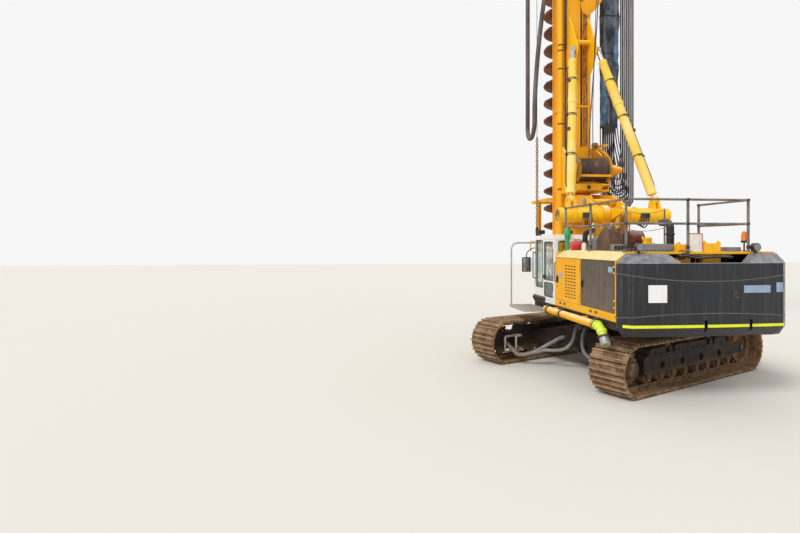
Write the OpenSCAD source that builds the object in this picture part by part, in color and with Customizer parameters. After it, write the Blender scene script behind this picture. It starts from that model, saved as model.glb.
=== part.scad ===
// Crawler piling rig with a continuous flight auger, full size.
// Origin on the ground under the slewing axis, +Y towards the mast, +X to the right, +Z up.

/* [Undercarriage] */
// Length of a track over its shoes
track_len = 5160; // [4800:10:5160]
// Height of a track over its grouser bars
track_h = 1020; // [960:10:1080]
// Width of a track shoe
shoe_w = 750; // [600:10:780]
// Distance between the middles of the tracks
gauge = 3400; // [3300:10:3500]
// Distance from one shoe to the next
shoe_pitch = 216; // [200:2:240]
// Angle of the tracks to the house as it stands
track_turn = -64; // [-90:1:90]

/* [House] */
// Width of the house and the counterweight
house_w = 3200; // [3000:10:3300]
// Distance from the slewing axis to the tail
tail_r = 3340; // [3200:10:3400]
// Height of the deck's top
deck_z = 1470; // [1450:10:1490]
// Height of the walkway on the house
roof_z = 2700; // [2600:10:2800]
// Thickness of the house's walls and doors
wall = 40; // [30:1:45]
// Height of the handrails above the walkway
rail_h = 930; // [800:10:1000]

/* [Cab] */
// Gap between the cab and the boom cylinder beside it
cab_gap = 70; // [40:5:120]
// Length of the cab
cab_l = 1300; // [1250:10:1320]
// Height of the cab above the deck
cab_h = 1560; // [1500:10:1650]

/* [Boom] */
// Length of the boom from its foot pin to the cross tube
boom_l = 1941; // [1900:1:1980]
// Angle that the boom leans back as it stands
boom_lean = 21.14; // [20:0.01:22]
// Outer radius of the cross tube
tube_r = 170; // [150:1:180]
// Half length of the cross tube
tube_half = 1360; // [1300:10:1400]

/* [Mast] */
// Width of the mast
mast_w = 680; // [640:10:700]
// Depth of the mast
mast_d = 800; // [760:10:820]
// Distance from the slewing axis to the mast's rear face
mast_y = 1820; // [1800:10:1840]
// Height of the mast's foot
mast_z0 = 1450; // [1440:10:1500]
// Height of the mast's top
mast_z1 = 18000; // [17000:100:18500]
// Plate thickness of the mast
mast_t = 14; // [10:1:20]

/* [Auger] */
// Diameter of the auger over its flights
auger_d = 700; // [500:10:700]
// Rise of the flight in one turn
auger_pitch = 520; // [400:10:600]
// Outer diameter of the auger's stem
stem_d = 180; // [140:10:200]
// Distance from the slewing axis to the auger's axis
auger_y = 3350; // [3340:5:3380]
// Height of the auger's lowest point
auger_tip = 1350; // [1350:10:1400]

/* [Cylinders] */
// Outer radius of the back stays
stay_r = 110; // [90:1:120]
// Radius of the rods of the back stays
stay_rod_r = 60; // [50:1:70]
// Outer radius of the boom cylinders
lift_r = 90; // [80:1:90]
// Radius of the rods of the boom cylinders
lift_rod_r = 50; // [40:1:55]

/* [Pipes] */
// Outer radius of the concrete pipes
pipe_r = 75; // [60:1:80]
// Wall of the concrete pipes
pipe_t = 8; // [5:1:12]

/* [Hidden] */
$fn = 48;
gap = 0.3;
hw = house_w / 2;

// Plain helpers
module both() { children(); mirror([1, 0, 0]) children(); }
// Extrudes an outline drawn in (Y, Z) over a width along X
module across(w, at = 0) translate([at, 0, 0]) rotate([90, 0, 90]) linear_extrude(w, center = true) children();
// Extrudes an outline drawn in (X, Z) over a width along Y
module lengthwise(w, at = 0) translate([0, at, 0]) rotate([90, 0, 0]) linear_extrude(w, center = true) children();
// A round bar along X between two places
module xbar(x0, x1, y, z, r) translate([x0, y, z]) rotate([0, 90, 0]) cylinder(r = r, h = x1 - x0);
// Turns and moves its children so that +Z points from a to b
module aim(a, b) {
    d = b - a;
    translate(a) rotate([0, acos(d.z / norm(d)), atan2(d.y, d.x)]) children();
}
// A round bar between two points
module bar(a, b, r) aim(a, b) cylinder(r = r, h = norm(b - a));
// A run of round bars with ball joints through a list of points
module pipe_run(points, r) {
    for (i = [0 : len(points) - 2]) bar(points[i], points[i + 1], r);
    for (p = points) translate(p) sphere(r = r + 0.4);
}
// A straight pipe up from the origin
module pipe(l, ro, ri) difference() {
    cylinder(r = ro, h = l);
    translate([0, 0, -1]) cylinder(r = ri, h = l + 2);
}
// A clamp coupling round the joint of two pipes at the origin
module coupling(ro, ri) translate([0, 0, -30]) pipe(60, ro + 16, ri - 1);
// A pipe bend that starts upwards at the origin and turns towards +X, coupled at both ends;
// its children start at its end
module bend(r, a, ro, ri) {
    translate([r, 0, 0]) rotate([90, 0, 180]) rotate_extrude(angle = a) translate([r, 0]) difference() {
        circle(ro);
        circle(ri);
    }
    coupling(ro, ri);
    translate([r * (1 - cos(a)), 0, r * sin(a)]) rotate([0, a, 0]) {
        coupling(ro, ri);
        children();
    }
}
// The end of a pipe that a hose is clamped to, as long as h
module hose_tail(h, ro) pipe(h, ro + 12, 48);
// A box given by its lowest and highest corners
module block(a, b) translate(a) cube(b - a);
function unit(v) = v / norm(v);
// A closed tube swept along points, its rings laid out from one side vector
module sweep(points, r, side, n = 8) {
    last = len(points) - 1;
    along = [for (i = [0 : last]) unit(points[min(i + 1, last)] - points[max(i - 1, 0)])];
    u = [for (t = along) unit(side - (side * t) * t)];
    rings = [for (i = [0 : last]) for (k = [0 : n - 1])
        points[i] + r * (cos(360 * k / n) * u[i] + sin(360 * k / n) * cross(along[i], u[i]))];
    walls = [for (i = [0 : last - 1]) for (k = [0 : n - 1])
        [i * n + k, (i + 1) * n + k, (i + 1) * n + (k + 1) % n, i * n + (k + 1) % n]];
    polyhedron(rings, concat([[for (k = [0 : n - 1]) k]], walls,
        [[for (k = [n - 1 : -1 : 0]) last * n + k]]));
}

// Undercarriage, drawn with the tracks along Y and then turned under the house
module turned() rotate([0, 0, track_turn]) children();
shoe_t = 32;
bar_h = 34;
loop_r = track_h / 2 - shoe_t - bar_h;
half_run = (track_len - track_h) / 2;
rail_t = 85;
rail_r = loop_r - rail_t;
rail_x = 90;
rail_w = 50;
frame_w = 340;
beam_z = [400, 760];
hub_z = 900;
ring_z0 = 1085;
ring_z1 = 1220;
axle_z = track_h / 2;
ROLLER_R = 90;
CARRIER_R = 60;
ROLLERS = [for (i = [-3.5 : 1 : 3.5]) i * 420];
CARRIERS = [-750, 750];

module stadium(r) {
    square([2 * half_run, 2 * r], center = true);
    for (e = [-1, 1]) translate([e * half_run, 0]) circle(r);
}
// Place and heading at a distance s along the loop's outside
function loop_at(s, h = half_run, r = loop_r) =
    let (q = PI * r)
    s < 2 * h ? [[s - h, -r], 0]
    : s < 2 * h + q ? let (a = (s - 2 * h) / r * 180 / PI) [[h + r * sin(a), -r * cos(a)], a]
    : s < 4 * h + q ? [[3 * h + q - s, r], 180]
    : let (a = (s - 4 * h - q) / r * 180 / PI) [[-h - r * sin(a), r * cos(a)], 180 + a];
shoes = round((4 * half_run + 2 * PI * loop_r) / shoe_pitch);
pitch = (4 * half_run + 2 * PI * loop_r) / shoes;
// One shoe seen from its end, as (along the track, out from the chain)
shoe_half = pitch / 2 - 6;
shoe_outline = [
    [-shoe_half, 10], [-shoe_half, shoe_t],
    for (b = [-1, 1]) for (p = [[-16, 0], [-8, bar_h], [8, bar_h], [16, 0]])
        [b * pitch / 4 + p.x, shoe_t + p.y],
    [shoe_half, shoe_t], [shoe_half, 10]];
loop_outline = [for (i = [0 : shoes - 1])
    let (at = loop_at((i + 0.5) * pitch), t = [cos(at[1]), sin(at[1])], n = [sin(at[1]), -cos(at[1])])
    for (p = shoe_outline) at[0] + p.x * t + p.y * n];

module track(side) color("#6b5340") turned() translate([side * gauge / 2, 0, axle_z]) {
    across(shoe_w) difference() { polygon(loop_outline); stadium(loop_r); }
    for (x = [-rail_x, rail_x]) across(rail_w, x) difference() { stadium(loop_r + 4); stadium(rail_r); }
}
module track_frames() color("#4d4136") turned() for (side = [-1, 1]) translate([side * gauge / 2, 0, 0]) {
    difference() {
        across(frame_w) polygon([[-half_run + 420, 370], [-half_run + 560, 340], [half_run - 520, 340],
            [half_run - 410, 400], [half_run - 410, 640], [half_run - 600, 700], [-half_run + 560, 700],
            [-half_run + 420, 660]]);
        for (y = [-1050 : 700 : 1050]) translate([side * (frame_w / 2), y, 480])
            rotate([0, 90, 0]) cylinder(r = 75, h = 120, center = true);
    }
    for (x = [-145, 145]) {
        across(40, x) difference() {
            union() {
                polygon([[half_run - 420, 390], [half_run, 400], [half_run, 620], [half_run - 420, 630]]);
                translate([half_run, axle_z]) circle(110);
            }
            translate([half_run, axle_z]) circle(46);
        }
        for (y = ROLLERS) across(34, x) polygon([[y - 80, 341], [y - 50, 200], [y + 50, 200], [y + 80, 341]]);
        for (y = CARRIERS) across(34, x) polygon([[y - 70, 699], [y - 40, 830], [y + 40, 830], [y + 70, 699]]);
    }
    // Bent bars that guard the travel motor and its hoses
    for (k = [0, 1]) let (x = -side * (270 + 110 * k), y = -half_run + 250 * k, e = -half_run + 430)
        pipe_run([[-side * 160, e, 640], [x, e, 640], [x, y, 640], [x, y, 260], [x, e, 260 + 80],
            [-side * 160, e, 260 + 80]], 20, $fn = 20);
    // Ring that carries the final drive, inboard of the chain
    across(50, -side * 145) {
        translate([-half_run, axle_z]) circle(250);
        polygon([[-half_run, 300], [-half_run + 480, 330], [-half_run + 480, 660], [-half_run, 720]]);
    }
}
module sprockets() color("#4a3c30") turned() for (side = [-1, 1])
    translate([side * gauge / 2, -half_run, axle_z]) {
        across(56) difference() {
            union() {
                circle(rail_r - 12);
                for (i = [0 : 20]) rotate(i * 360 / 21) polygon([[rail_r - 40, -34], [rail_r + 46, -14],
                    [rail_r + 46, 14], [rail_r - 40, 34]]);
            }
            for (i = [0 : 6]) rotate(i * 360 / 7) translate([262, 0]) circle(38);
        }
        // Final drive: hub outboard, motor inboard
        translate([side * 28, 0, 0]) rotate([0, side * 90, 0]) {
            cylinder(r = 225, h = 90);
            cylinder(r = 180, h = 190);
            for (i = [0 : 11]) rotate(i * 30) translate([203, 0, 0]) cylinder(r = 11, h = 106, $fn = 24);
        }
        translate([-side * (28), 0, 0]) rotate([0, -side * 90, 0]) cylinder(r = 225, h = 92 - gap);
    }
module idlers() color("#4a3c30") turned() for (side = [-1, 1])
    translate([side * gauge / 2, half_run, axle_z]) rotate([0, 90, 0]) {
        difference() {
            cylinder(r = rail_r - gap, h = 2 * (rail_x + rail_w / 2), center = true);
            for (e = [-1, 1]) translate([0, 0, e * (rail_x + 5)]) difference() {
                cylinder(r = rail_r - 60, h = 100, center = true);
                cylinder(r = 120, h = 101, center = true);
            }
        }
        cylinder(r = rail_r + 34, h = 2 * (rail_x - rail_w / 2) - 12, center = true);
        cylinder(r = 45, h = 330, center = true);
    }
module rollers() color("#4a3c30") turned() for (side = [-1, 1]) translate([side * gauge / 2, 0, 0]) {
    for (y = ROLLERS) translate([0, y, axle_z - rail_r + ROLLER_R + gap]) rotate([0, 90, 0]) {
        cylinder(r = ROLLER_R, h = 230, center = true);
        cylinder(r = 36, h = 2 * (128 - gap), center = true);
    }
    for (y = CARRIERS) translate([0, y, axle_z + rail_r - CARRIER_R - gap]) rotate([0, 90, 0]) {
        cylinder(r = CARRIER_R, h = 230, center = true);
        cylinder(r = 24, h = 2 * (128 - gap), center = true);
    }
}
inner_x = gauge / 2 - frame_w / 2;
beam_face = -1050;
module car_body() color("#46403a") turned() {
    for (y = [-850, 850]) lengthwise(400, y) polygon([[-inner_x, beam_z[0] + 60], [-900, beam_z[0] - 20],
        [900, beam_z[0] - 20], [inner_x, beam_z[0] + 60], [inner_x, 700], [800, hub_z - 30],
        [-800, hub_z - 30], [-inner_x, 700]]);
    block([-760, -700, beam_z[0]], [760, 700, hub_z - 20]);
    translate([0, 0, hub_z - 40]) cylinder(r1 = 860, r2 = 690, h = 100, $fn = 48);
    translate([0, 0, hub_z]) cylinder(r = 690, h = ring_z0 - hub_z);
    // Towing eye on the middle of the rear beam, its pin upright
    difference() {
        union() {
            block([-100, -1240, 470], [100, -1000, 530]);
            translate([0, -1240, 470]) cylinder(r = 112, h = 60);
        }
        translate([0, -1240, 469]) cylinder(r = 45, h = 62);
    }
}
module slew_ring() color("#35322e") translate([0, 0, ring_z0]) difference() {
    cylinder(r = 640, h = ring_z1 - ring_z0);
    translate([0, 0, -1]) cylinder(r = 500, h = ring_z1 - ring_z0 + 2);
}
TRAVEL_ROUTE = [[-560, -1020, 660], [-610, -1140, 620], [-740, -1380, 480], [-900, -1620, 330],
    [-1080, -1780, 240], [-1240, -1870, 240], [-1360, -1910, 340], [-1460, -1930, 420], [-1560, -1940, 490]];
module travel_hoses() color("#8d8f8c") turned() both() difference() {
    sweep(TRAVEL_ROUTE, 48, [0, 0, 1], 10);
    block([-800, beam_face - gap, 500], [0, -900, 800]);
    block([-1700, -2200, 300], [-inner_x + gap, -1500, 700]);
}

// House
deck_b = ring_z1 + gap;
cw_y0 = 240 - tail_r;
cw_front = cw_y0 + 380;
ear_w = 45;
foot = [700, 1700];
lean = [-sin(boom_lean), cos(boom_lean)];
tube_c = foot + boom_l * lean;
link_off = [-500, 50];
lift_foot = [-350, 1620];
lift_eye = foot + 0.62 * boom_l * lean;
arm_x = 240;
arm_w = 160;
link_x = 90;
link_w = 60;
lift_x = 520;
lift_w = 80;
module eye(c, r) translate(c) circle(r);
module ear(x, w, c, r, base, z0) across(w, x) difference() {
    union() {
        eye(c, r);
        polygon([[c.x - r, c.y], [c.x + r, c.y], [c.x + base, z0], [c.x - base, z0]]);
    }
}
module deck() color("#3f3b36") {
    translate([0, 0, deck_b]) cylinder(r = 700, h = 40);
    both() {
        block([390, cw_front, deck_b + 39], [450, 900, deck_z]);
        difference() {
            block([440, cw_front + 5, deck_z - 35], [hw, 900, deck_z]);
            block([1000, 860, 0], [hw + 1, 901, 2000]);
        }
        block([hw - 296, cw_y0 + 5, deck_z - 35], [hw, cw_front + 20, deck_z]);
        block([hw - 60, cw_y0 + 5, deck_z - 150], [hw - 20, 850, deck_z - 34]);
        for (y = [cw_front + 420, -1500, -700, 100, 760]) block([440, y, deck_z - 120], [hw - 30, y + 40, deck_z - 30]);
    }
    block([-450, cw_front, deck_z - 30], [450, 900, deck_z]);
    block([-450, cw_front, deck_b + 39], [450, 860, deck_b + 60]);
}
ear_z = deck_z + gap;
module boom_feet() color("#e8a21c") {
    both() {
        ear(arm_x - arm_w / 2 - ear_w / 2 - 6, ear_w, foot, 130, 260, ear_z);
        ear(arm_x + arm_w / 2 + ear_w / 2 + 6, ear_w, foot, 130, 260, ear_z);
        ear(lift_x - lift_w / 2 - ear_w / 2 - 6, ear_w, lift_foot, 90, 125, ear_z);
        ear(lift_x + lift_w / 2 + ear_w / 2 + 6, ear_w, lift_foot, 90, 125, ear_z);
        xbar(arm_x - arm_w / 2 - 50, arm_x + arm_w / 2 + 60, foot.x, foot.y, 50);
        xbar(lift_x - lift_w / 2 - 50, lift_x + lift_w / 2 + 50, lift_foot.x, lift_foot.y, 40);
    }
    for (x = [-1, 0, 1]) ear(x * (link_x + link_w / 2 + 20), 24, foot + link_off, 80, 120, ear_z);
    xbar(-(link_x + link_w / 2 + 30), link_x + link_w / 2 + 30, foot.x + link_off.x, foot.y + link_off.y, 36);
}
corner_x = hw - 190;
corner_y = -tail_r + 210;
side_z = 2540;
notch_c = 115;
function tail_plan(inset) = [
    [-hw + inset, cw_y0], [-hw + inset, corner_y],
    for (i = [-4 : 4]) let (x = i / 4 * (corner_x - inset))
        [x, -tail_r + 40 * pow(i / 4, 2) + inset],
    [hw - inset, corner_y], [hw - inset, cw_y0]];
// A shallow joint between two panels of the tail, curved between its height at the sides and in the middle
module panel_joint(z_side, z_mid) intersection() {
    lengthwise(400, 100 - tail_r) polygon(concat(
        [for (i = [-6 : 6]) [i / 6 * (hw + 10), z_mid + (z_side - z_mid) * pow(i / 6, 2) - 6]],
        [for (i = [6 : -1 : -6]) [i / 6 * (hw + 10), z_mid + (z_side - z_mid) * pow(i / 6, 2) + 6]]));
    tail_skin();
}
module tail_skin() translate([0, 0, 1372]) linear_extrude(side_z - 1372 - 42) difference() {
    polygon(tail_plan(-5));
    polygon(tail_plan(8));
}
cw_top = roof_z - 31;
module counterweight() color("#26282b") difference() {
    union() {
        hull() {
            translate([0, 0, 1220]) linear_extrude(1) polygon(tail_plan(120));
            translate([0, 0, 1370]) linear_extrude(side_z - 1410) polygon(tail_plan(0));
            translate([0, 0, cw_top]) linear_extrude(1) polygon(tail_plan(170));
        }
        block([300 - hw, cw_y0 - 20, 1230], [hw - 300, cw_front - gap, side_z - 60]);
    }
    lengthwise(1200, cw_y0 - 100) polygon([[notch_c - 650, side_z - 34], [notch_c + 650, side_z - 34],
        [notch_c + 830, roof_z], [notch_c - 830, roof_z]]);
    translate([472, -tail_r - 10, 1940]) rotate([-90, 0, 0]) cylinder(r = 60, h = 160);
    for (x = [-86, 772]) block([x - 30, -tail_r - 1, 1200], [x + 30, 60 - tail_r, 1520]);
    panel_joint(2330, 2150);
    panel_joint(1550, 1645);
    for (x = [-1262, 1262]) intersection() {
        block([x - 6, -tail_r - 1, 1560], [x + 6, cw_y0, side_z - 50]);
        tail_skin();
    }
}
module engine() color("#5a5c58") block([-700, cw_front + 370, deck_z], [700, -1600, 2250]);
front_y = -480;
door_z = [1620, side_z];
SKIRT_SLOTS = [-720, -940, -2130, -2350];
DOORS_Y = [[-1690, -520], [cw_y0 + 45, -1730]];
module house_frame() color("#f0a81e") difference() {
    union() {
        lengthwise(front_y - cw_y0 - 5, (front_y + cw_y0 + 5) / 2) polygon([[-hw, deck_z], [-hw, side_z + 5],
            [-hw + 200, roof_z], [hw - 200, roof_z], [hw, side_z + 5], [hw, deck_z], [hw - wall, deck_z],
            [hw - wall, side_z - 14], [hw - 216, roof_z - wall], [-hw + 216, roof_z - wall],
            [-hw + wall, side_z - 14], [-hw + wall, deck_z]]);
        block([-hw + wall, front_y - wall, deck_z], [hw - wall, front_y, roof_z - wall]);
        both() for (d = DOORS_Y) hinge_lugs(hw, d[0], door_z);
    }
    both() for (d = DOORS_Y) block([hw - wall - 1, d[0] - 6, door_z[0] - 6], [hw + 0.001, d[1] + 6, door_z[1] + 6 - 5]);
    both() for (y = SKIRT_SLOTS) block([hw - wall - 1, y - 60, 1515], [hw + 1, y + 60, 1575]);
}
// Door leaves, hung on two pins that stand clear of the outer face
hinge_r = 13;
pin_r = 8;
knuckle = 80;
function hinge_zs(z) = [z[0] + 160, z[1] - 160];
module hinge_lugs(face, y, z) for (h = hinge_zs(z)) {
    for (s = [-1, 1]) translate([face + 14, y, h + s * (knuckle / 2 + 16)]) {
        cylinder(r = hinge_r, h = 30, center = true);
        translate([-14, -34, -15]) cube([8, 34, 30]);
    }
    translate([face + 14, y, h]) cylinder(r = pin_r, h = knuckle + 10, center = true);
}
module leaf(face, y, z, t) difference() {
    union() {
        block([face - t, y[0] + 8, z[0]], [face, y[1], z[1] - 8]);
        for (h = hinge_zs(z)) translate([face + 14, y[0], h]) {
            cylinder(r = hinge_r, h = knuckle, center = true);
            translate([-14, 0, -knuckle / 2]) cube([8, 60, knuckle]);
        }
    }
    for (h = hinge_zs(z)) translate([face + 14, y[0], h])
        cylinder(r = pin_r + gap, h = knuckle + 1, center = true);
}
module louvre_slots(y, z, rows, cols) {
    dy = (y[1] - y[0]) / cols;
    dz = (z[1] - z[0]) / rows;
    for (i = [0 : cols - 1]) for (j = [0 : rows - 1])
        block([hw - 60, y[0] + i * dy + 16, z[0] + j * dz], [hw + 1, y[0] + (i + 1) * dy - 16, z[0] + j * dz + 30]);
}
module front_door() difference() {
    leaf(hw, DOORS_Y[0], door_z, wall - 6);
    louvre_slots([-1500, -950], [1700, 2420], 11, 4);
}
module rear_door() leaf(hw, DOORS_Y[1], door_z, wall - 6);
module right_tank() color("#f0a81e") difference() {
    across(hw - 690, (hw + 690) / 2) polygon([[-470, deck_z], [820, deck_z], [820, 1900], [700, 2150], [-470, 2150]]);
    across(hw - 690 - 60, (hw + 690) / 2) polygon([[-440, 1500], [790, 1500], [790, 1890], [690, 2120], [-440, 2120]]);
}
post_r = 24;
tube21 = 21;
rail_x0 = -1380;
rail_x1 = 950;
rail_y = [cw_y0 + 60, -1700, -520];
module handrails() color("#55565a") {
    top = roof_z + rail_h;
    mid = roof_z + rail_h - 430;
    for (z = [top, mid]) {
        pipe_run([[rail_x0, rail_y[2], z], [rail_x0, rail_y[0], z], [rail_x1, rail_y[0], z],
            [rail_x1, rail_y[1], z]], tube21);
    }
    for (p = [[rail_x0, rail_y[2]], [rail_x0, rail_y[1]], [rail_x0, rail_y[0]], [-215, rail_y[0]],
        [rail_x1, rail_y[0]], [rail_x1, rail_y[1]]]) {
        translate([p.x, p.y, roof_z]) cylinder(r = post_r, h = rail_h);
        translate([p.x - 50, p.y - 50, roof_z]) cube([100, 100, 12]);
    }
}
module deck_gear() color("#7d8286") {
    translate([-1160, -1000, roof_z]) cylinder(r = 60, h = 420);
    translate([-1020, -1240, roof_z]) cylinder(r = 95, h = 280);
    block([-816, -2200, roof_z], [-504, -1900, roof_z + 400]);
    block([-550, -1860, roof_z], [-250, -1600, roof_z + 200]);
    across(360, -880) polygon([[-1850, roof_z], [-1350, roof_z], [-1350, roof_z + 240],
        [-1500, roof_z + 400], [-1720, roof_z + 500], [-1850, roof_z + 500]]);
}
module exhaust() color("#1d1d1f") translate([-330, cw_y0 + 400, roof_z]) rotate([0, 0, 90]) {
    pipe(420, 75, 68);
    translate([0, 0, 420]) bend(120, 90, 75, 68) pipe(160, 75, 68);
}
module work_lamps() color("#26282b") {
    for (p = [[1010, cw_y0 - 36, cw_top + 1 + gap], [-1200, cw_y0 - 36, cw_top + 1 + gap]]) translate(p) {
        cylinder(r = 20, h = 60);
        translate([0, 0, 110]) rotate([90, 0, 0]) cylinder(r = 75, h = 90, center = true);
    }
}

// Cab, hollow, with its door on the left side
cab_x = [-hw, -(lift_x + lift_r + cab_gap)];
cab_w = cab_x[1] - cab_x[0];
cab_y = [-450, cab_l - 450];
cab_z = [deck_z, deck_z + cab_h];
cab_wall = 45;
cab_door_y = [-395, 225];
cab_door_z = [deck_z + 70, cab_z[1] - 90];
function cab_profile(t) = [
    [cab_y[0] + t, cab_z[0] + t], [cab_y[1] - 110 - t, cab_z[0] + t], [cab_y[1] - t, cab_z[0] + 320],
    [cab_y[1] - 70 - t, cab_z[1] - 90 - t], [cab_y[1] - 160 - t, cab_z[1] - t],
    [cab_y[0] + 90 + t, cab_z[1] - t], [cab_y[0] + t, cab_z[1] - 90 - t]];
side_win = [[280, 720], [cab_z[0] + 330, cab_z[1] - 110]];
right_win = [[-330, 700], [cab_z[0] + 480, cab_z[1] - 110]];
screen_z = [cab_z[0] + 420, cab_z[1] - 150];
rear_win_z = [cab_z[0] + 780, cab_z[1] - 130];
win_x = [cab_x[0] + 80, cab_x[1] - 80];
module cab_shell() color("#eeeeea") difference() {
    union() {
        across(cab_w, (cab_x[0] + cab_x[1]) / 2) polygon(cab_profile(0));
        mirror([1, 0, 0]) hinge_lugs(hw, cab_door_y[0], cab_door_z + [0, 8]);
    }
    across(cab_w - 2 * cab_wall, (cab_x[0] + cab_x[1]) / 2) polygon(cab_profile(cab_wall));
    block([-hw - 1, cab_door_y[0] - 6 + 8, cab_door_z[0] - 6], [-hw + cab_wall + 1, cab_door_y[1] + 6, cab_door_z[1] + 6]);
    block([-hw - 1, side_win[0][0], side_win[1][0]], [-hw + cab_wall + 1, side_win[0][1], side_win[1][1]]);
    block([cab_x[1] - cab_wall - 1, right_win[0][0], right_win[1][0]], [cab_x[1] + 1, right_win[0][1], right_win[1][1]]);
    block([win_x[0], 500, screen_z[0]], [win_x[1], 1000, screen_z[1]]);
    block([win_x[0], cab_y[0] - 1, rear_win_z[0]], [win_x[1], cab_y[0] + cab_wall + 1, rear_win_z[1]]);
}
module pane(a, b) block(a + [gap, gap, gap], b - [gap, gap, gap]);
module cab_glass() color("#9fb4bd") {
    pane([-hw + 20, side_win[0][0], side_win[1][0]], [-hw + 27, side_win[0][1], side_win[1][1]]);
    pane([cab_x[1] - 27, right_win[0][0], right_win[1][0]], [cab_x[1] - 20, right_win[0][1], right_win[1][1]]);
    pane([win_x[0], cab_y[0] + 18, rear_win_z[0]], [win_x[1], cab_y[0] + 25, rear_win_z[1]]);
    difference() {
        across(win_x[1] - win_x[0] - 2 * gap, (win_x[0] + win_x[1]) / 2) difference() {
            polygon(cab_profile(18));
            polygon(cab_profile(25));
        }
        block([-2000, -1000, 0], [0, 2000, screen_z[0] + gap]);
        block([-2000, -1000, screen_z[1] - gap], [0, 2000, 4000]);
        block([-2000, -1000, 0], [0, 500, 4000]);
    }
}
seat_x = (cab_x[0] + cab_x[1]) / 2;
module cab_seat() color("#2b2c2e") {
    block([seat_x - 190, -250, cab_z[0] + cab_wall], [seat_x + 190, 150, cab_z[0] + 330]);
    block([seat_x - 250, -300, cab_z[0] + 330 + gap], [seat_x + 250, 200, cab_z[0] + 450]);
    translate([0, 0, cab_z[0] + 450 + gap])
        across(460, seat_x) polygon([[-240, 0], [-120, 0], [-190, 630], [-300, 630]]);
    block([seat_x - 210, 420, cab_z[0] + cab_wall], [seat_x + 210, 560, cab_z[0] + 300]);
}
cab_leaf_y = [-335, 170];
CAB_LEAF_Z = [[cab_z[0] + 150, cab_z[0] + 470], [cab_z[0] + 530, cab_z[1] - 150]];
module cab_door() color("#eeeeea") mirror([1, 0, 0]) difference() {
    leaf(hw, cab_door_y, cab_door_z + [0, 8], cab_wall - 5);
    for (z = CAB_LEAF_Z) block([hw - 60, cab_leaf_y[0], z[0]], [hw + 1, cab_leaf_y[1], z[1]]);
}
module cab_door_glass() color("#9fb4bd")
    for (z = CAB_LEAF_Z) pane([-hw + 14, cab_leaf_y[0], z[0]], [-hw + 21, cab_leaf_y[1], z[1]]);
// Step outside the cab with the hoop that guards it
step_x = [-hw - 580, -hw - 20];
step_y = [cab_y[1] - 890, cab_y[1] + 150];
step_arm_y = cab_y[1] - 50;
step_z = deck_z - 140;
hoop_y = step_y[1] - 60;
hoop_top = cab_z[1] - 170;
hoop_r = 19;
// Where the sloping front of the cab stands at a height
function cab_front(z) = cab_y[1] - 70 * (z - cab_z[0] - 320) / (cab_z[1] - cab_z[0] - 410);
module cab_platform() color("#8f8c86") {
    block([step_x[0], step_y[0], step_z - 6], [step_x[1], step_y[1], step_z]);
    for (y = [step_y[0], step_arm_y, step_y[1] - 40]) block([step_x[0], y, step_z - 60], [step_x[1], y + 40, step_z - 5]);
    for (y = [step_y[0], step_arm_y]) block([step_x[1] - 1, y, step_z - 60], [-hw + 45, y + 40, deck_z - 150 - gap]);
    block([step_x[0], step_y[0], step_z - 60], [step_x[0] + 40, step_y[1], step_z - 5]);
    pipe_run([[step_x[0] + 30, hoop_y, step_z - 1], [step_x[0] + 30, hoop_y, hoop_top - 140],
        [step_x[0] + 71, hoop_y, hoop_top - 41], [step_x[0] + 170, hoop_y, hoop_top],
        [-hw + 60, hoop_y, hoop_top]], hoop_r);
    bar([-hw + 60, hoop_y, hoop_top], [-hw + 60, cab_front(hoop_top - hoop_r) + gap, hoop_top], hoop_r);
}

// Concrete delivery pipe under the left side
line_x = -hw - pipe_r - 8;
line_z = 1345;
line_y = [-2560, -120];
elbow_a = 55;
elbow_r = 200;
module delivery_pipe() color("#f0a81e") {
    difference() {
        union() {
            bar([line_x, line_y[0], line_z], [line_x, line_y[1], line_z], pipe_r);
            for (y = [-2520, -1000, -300]) bar([line_x, y - 35, line_z], [line_x, y + 35, line_z], pipe_r + 22);
            for (y = [-2000, -600]) block([line_x - 40, y - 30, line_z + pipe_r - 12], [-hw + 20 - gap, y + 30, line_z + pipe_r + 12]);
        }
        bar([line_x, line_y[0] - 1, line_z], [line_x, line_y[1] + 1, line_z], pipe_r - pipe_t);
    }
}
module delivery_elbow() color("#b7d334") translate([line_x, line_y[0] - gap - 30, line_z]) rotate([0, 90, -90])
    bend(elbow_r, elbow_a, pipe_r, pipe_r - pipe_t) pipe(260, pipe_r, pipe_r - pipe_t);

// Boom, head beam and their cylinders
// A plate between two round ends; its flanks start just inside the ends
module link_plate(a, b, ra, rb) {
    eye(a, ra);
    eye(b, rb);
    d = unit(b - a);
    n = [-d.y, d.x];
    polygon([a + (ra - 2) * n, b + (rb - 2) * n, b - (rb - 2) * n, a - (ra - 2) * n]);
}
module boom() color("#e8a21c") {
    both() difference() {
        across(arm_w, arm_x) link_plate(foot, tube_c, 120, tube_r + 60);
        xbar(arm_x - arm_w, arm_x + arm_w, foot.x, foot.y, 50 + gap);
        xbar(arm_x - arm_w, arm_x + arm_w, tube_c.x, tube_c.y, tube_r + gap);
    }
    for (s = [0.3, 0.62]) let (c = foot + s * boom_l * lean)
        xbar(-(arm_x - arm_w / 2 + 1), arm_x - arm_w / 2 + 1, c.x, c.y, 80);
    both() xbar(arm_x + arm_w / 2 - 1, lift_x + lift_w / 2 + 12, lift_eye.x, lift_eye.y, 40);
}
module link_bars() color("#e8a21c") both() difference() {
    across(link_w, link_x) link_plate(foot + link_off, tube_c + link_off, 75, 75);
    xbar(0, 200, foot.x + link_off.x, foot.y + link_off.y, 36 + gap);
    xbar(0, 200, tube_c.x + link_off.x, tube_c.y + link_off.y, 38);
}
lift_len = norm(lift_eye - lift_foot);
lift_d = unit(lift_eye - lift_foot);
module on_lift() translate([lift_x, lift_foot.x, lift_foot.y])
    rotate([atan2(lift_d.y, lift_d.x) - 90, 0, 0]) children();
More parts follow.
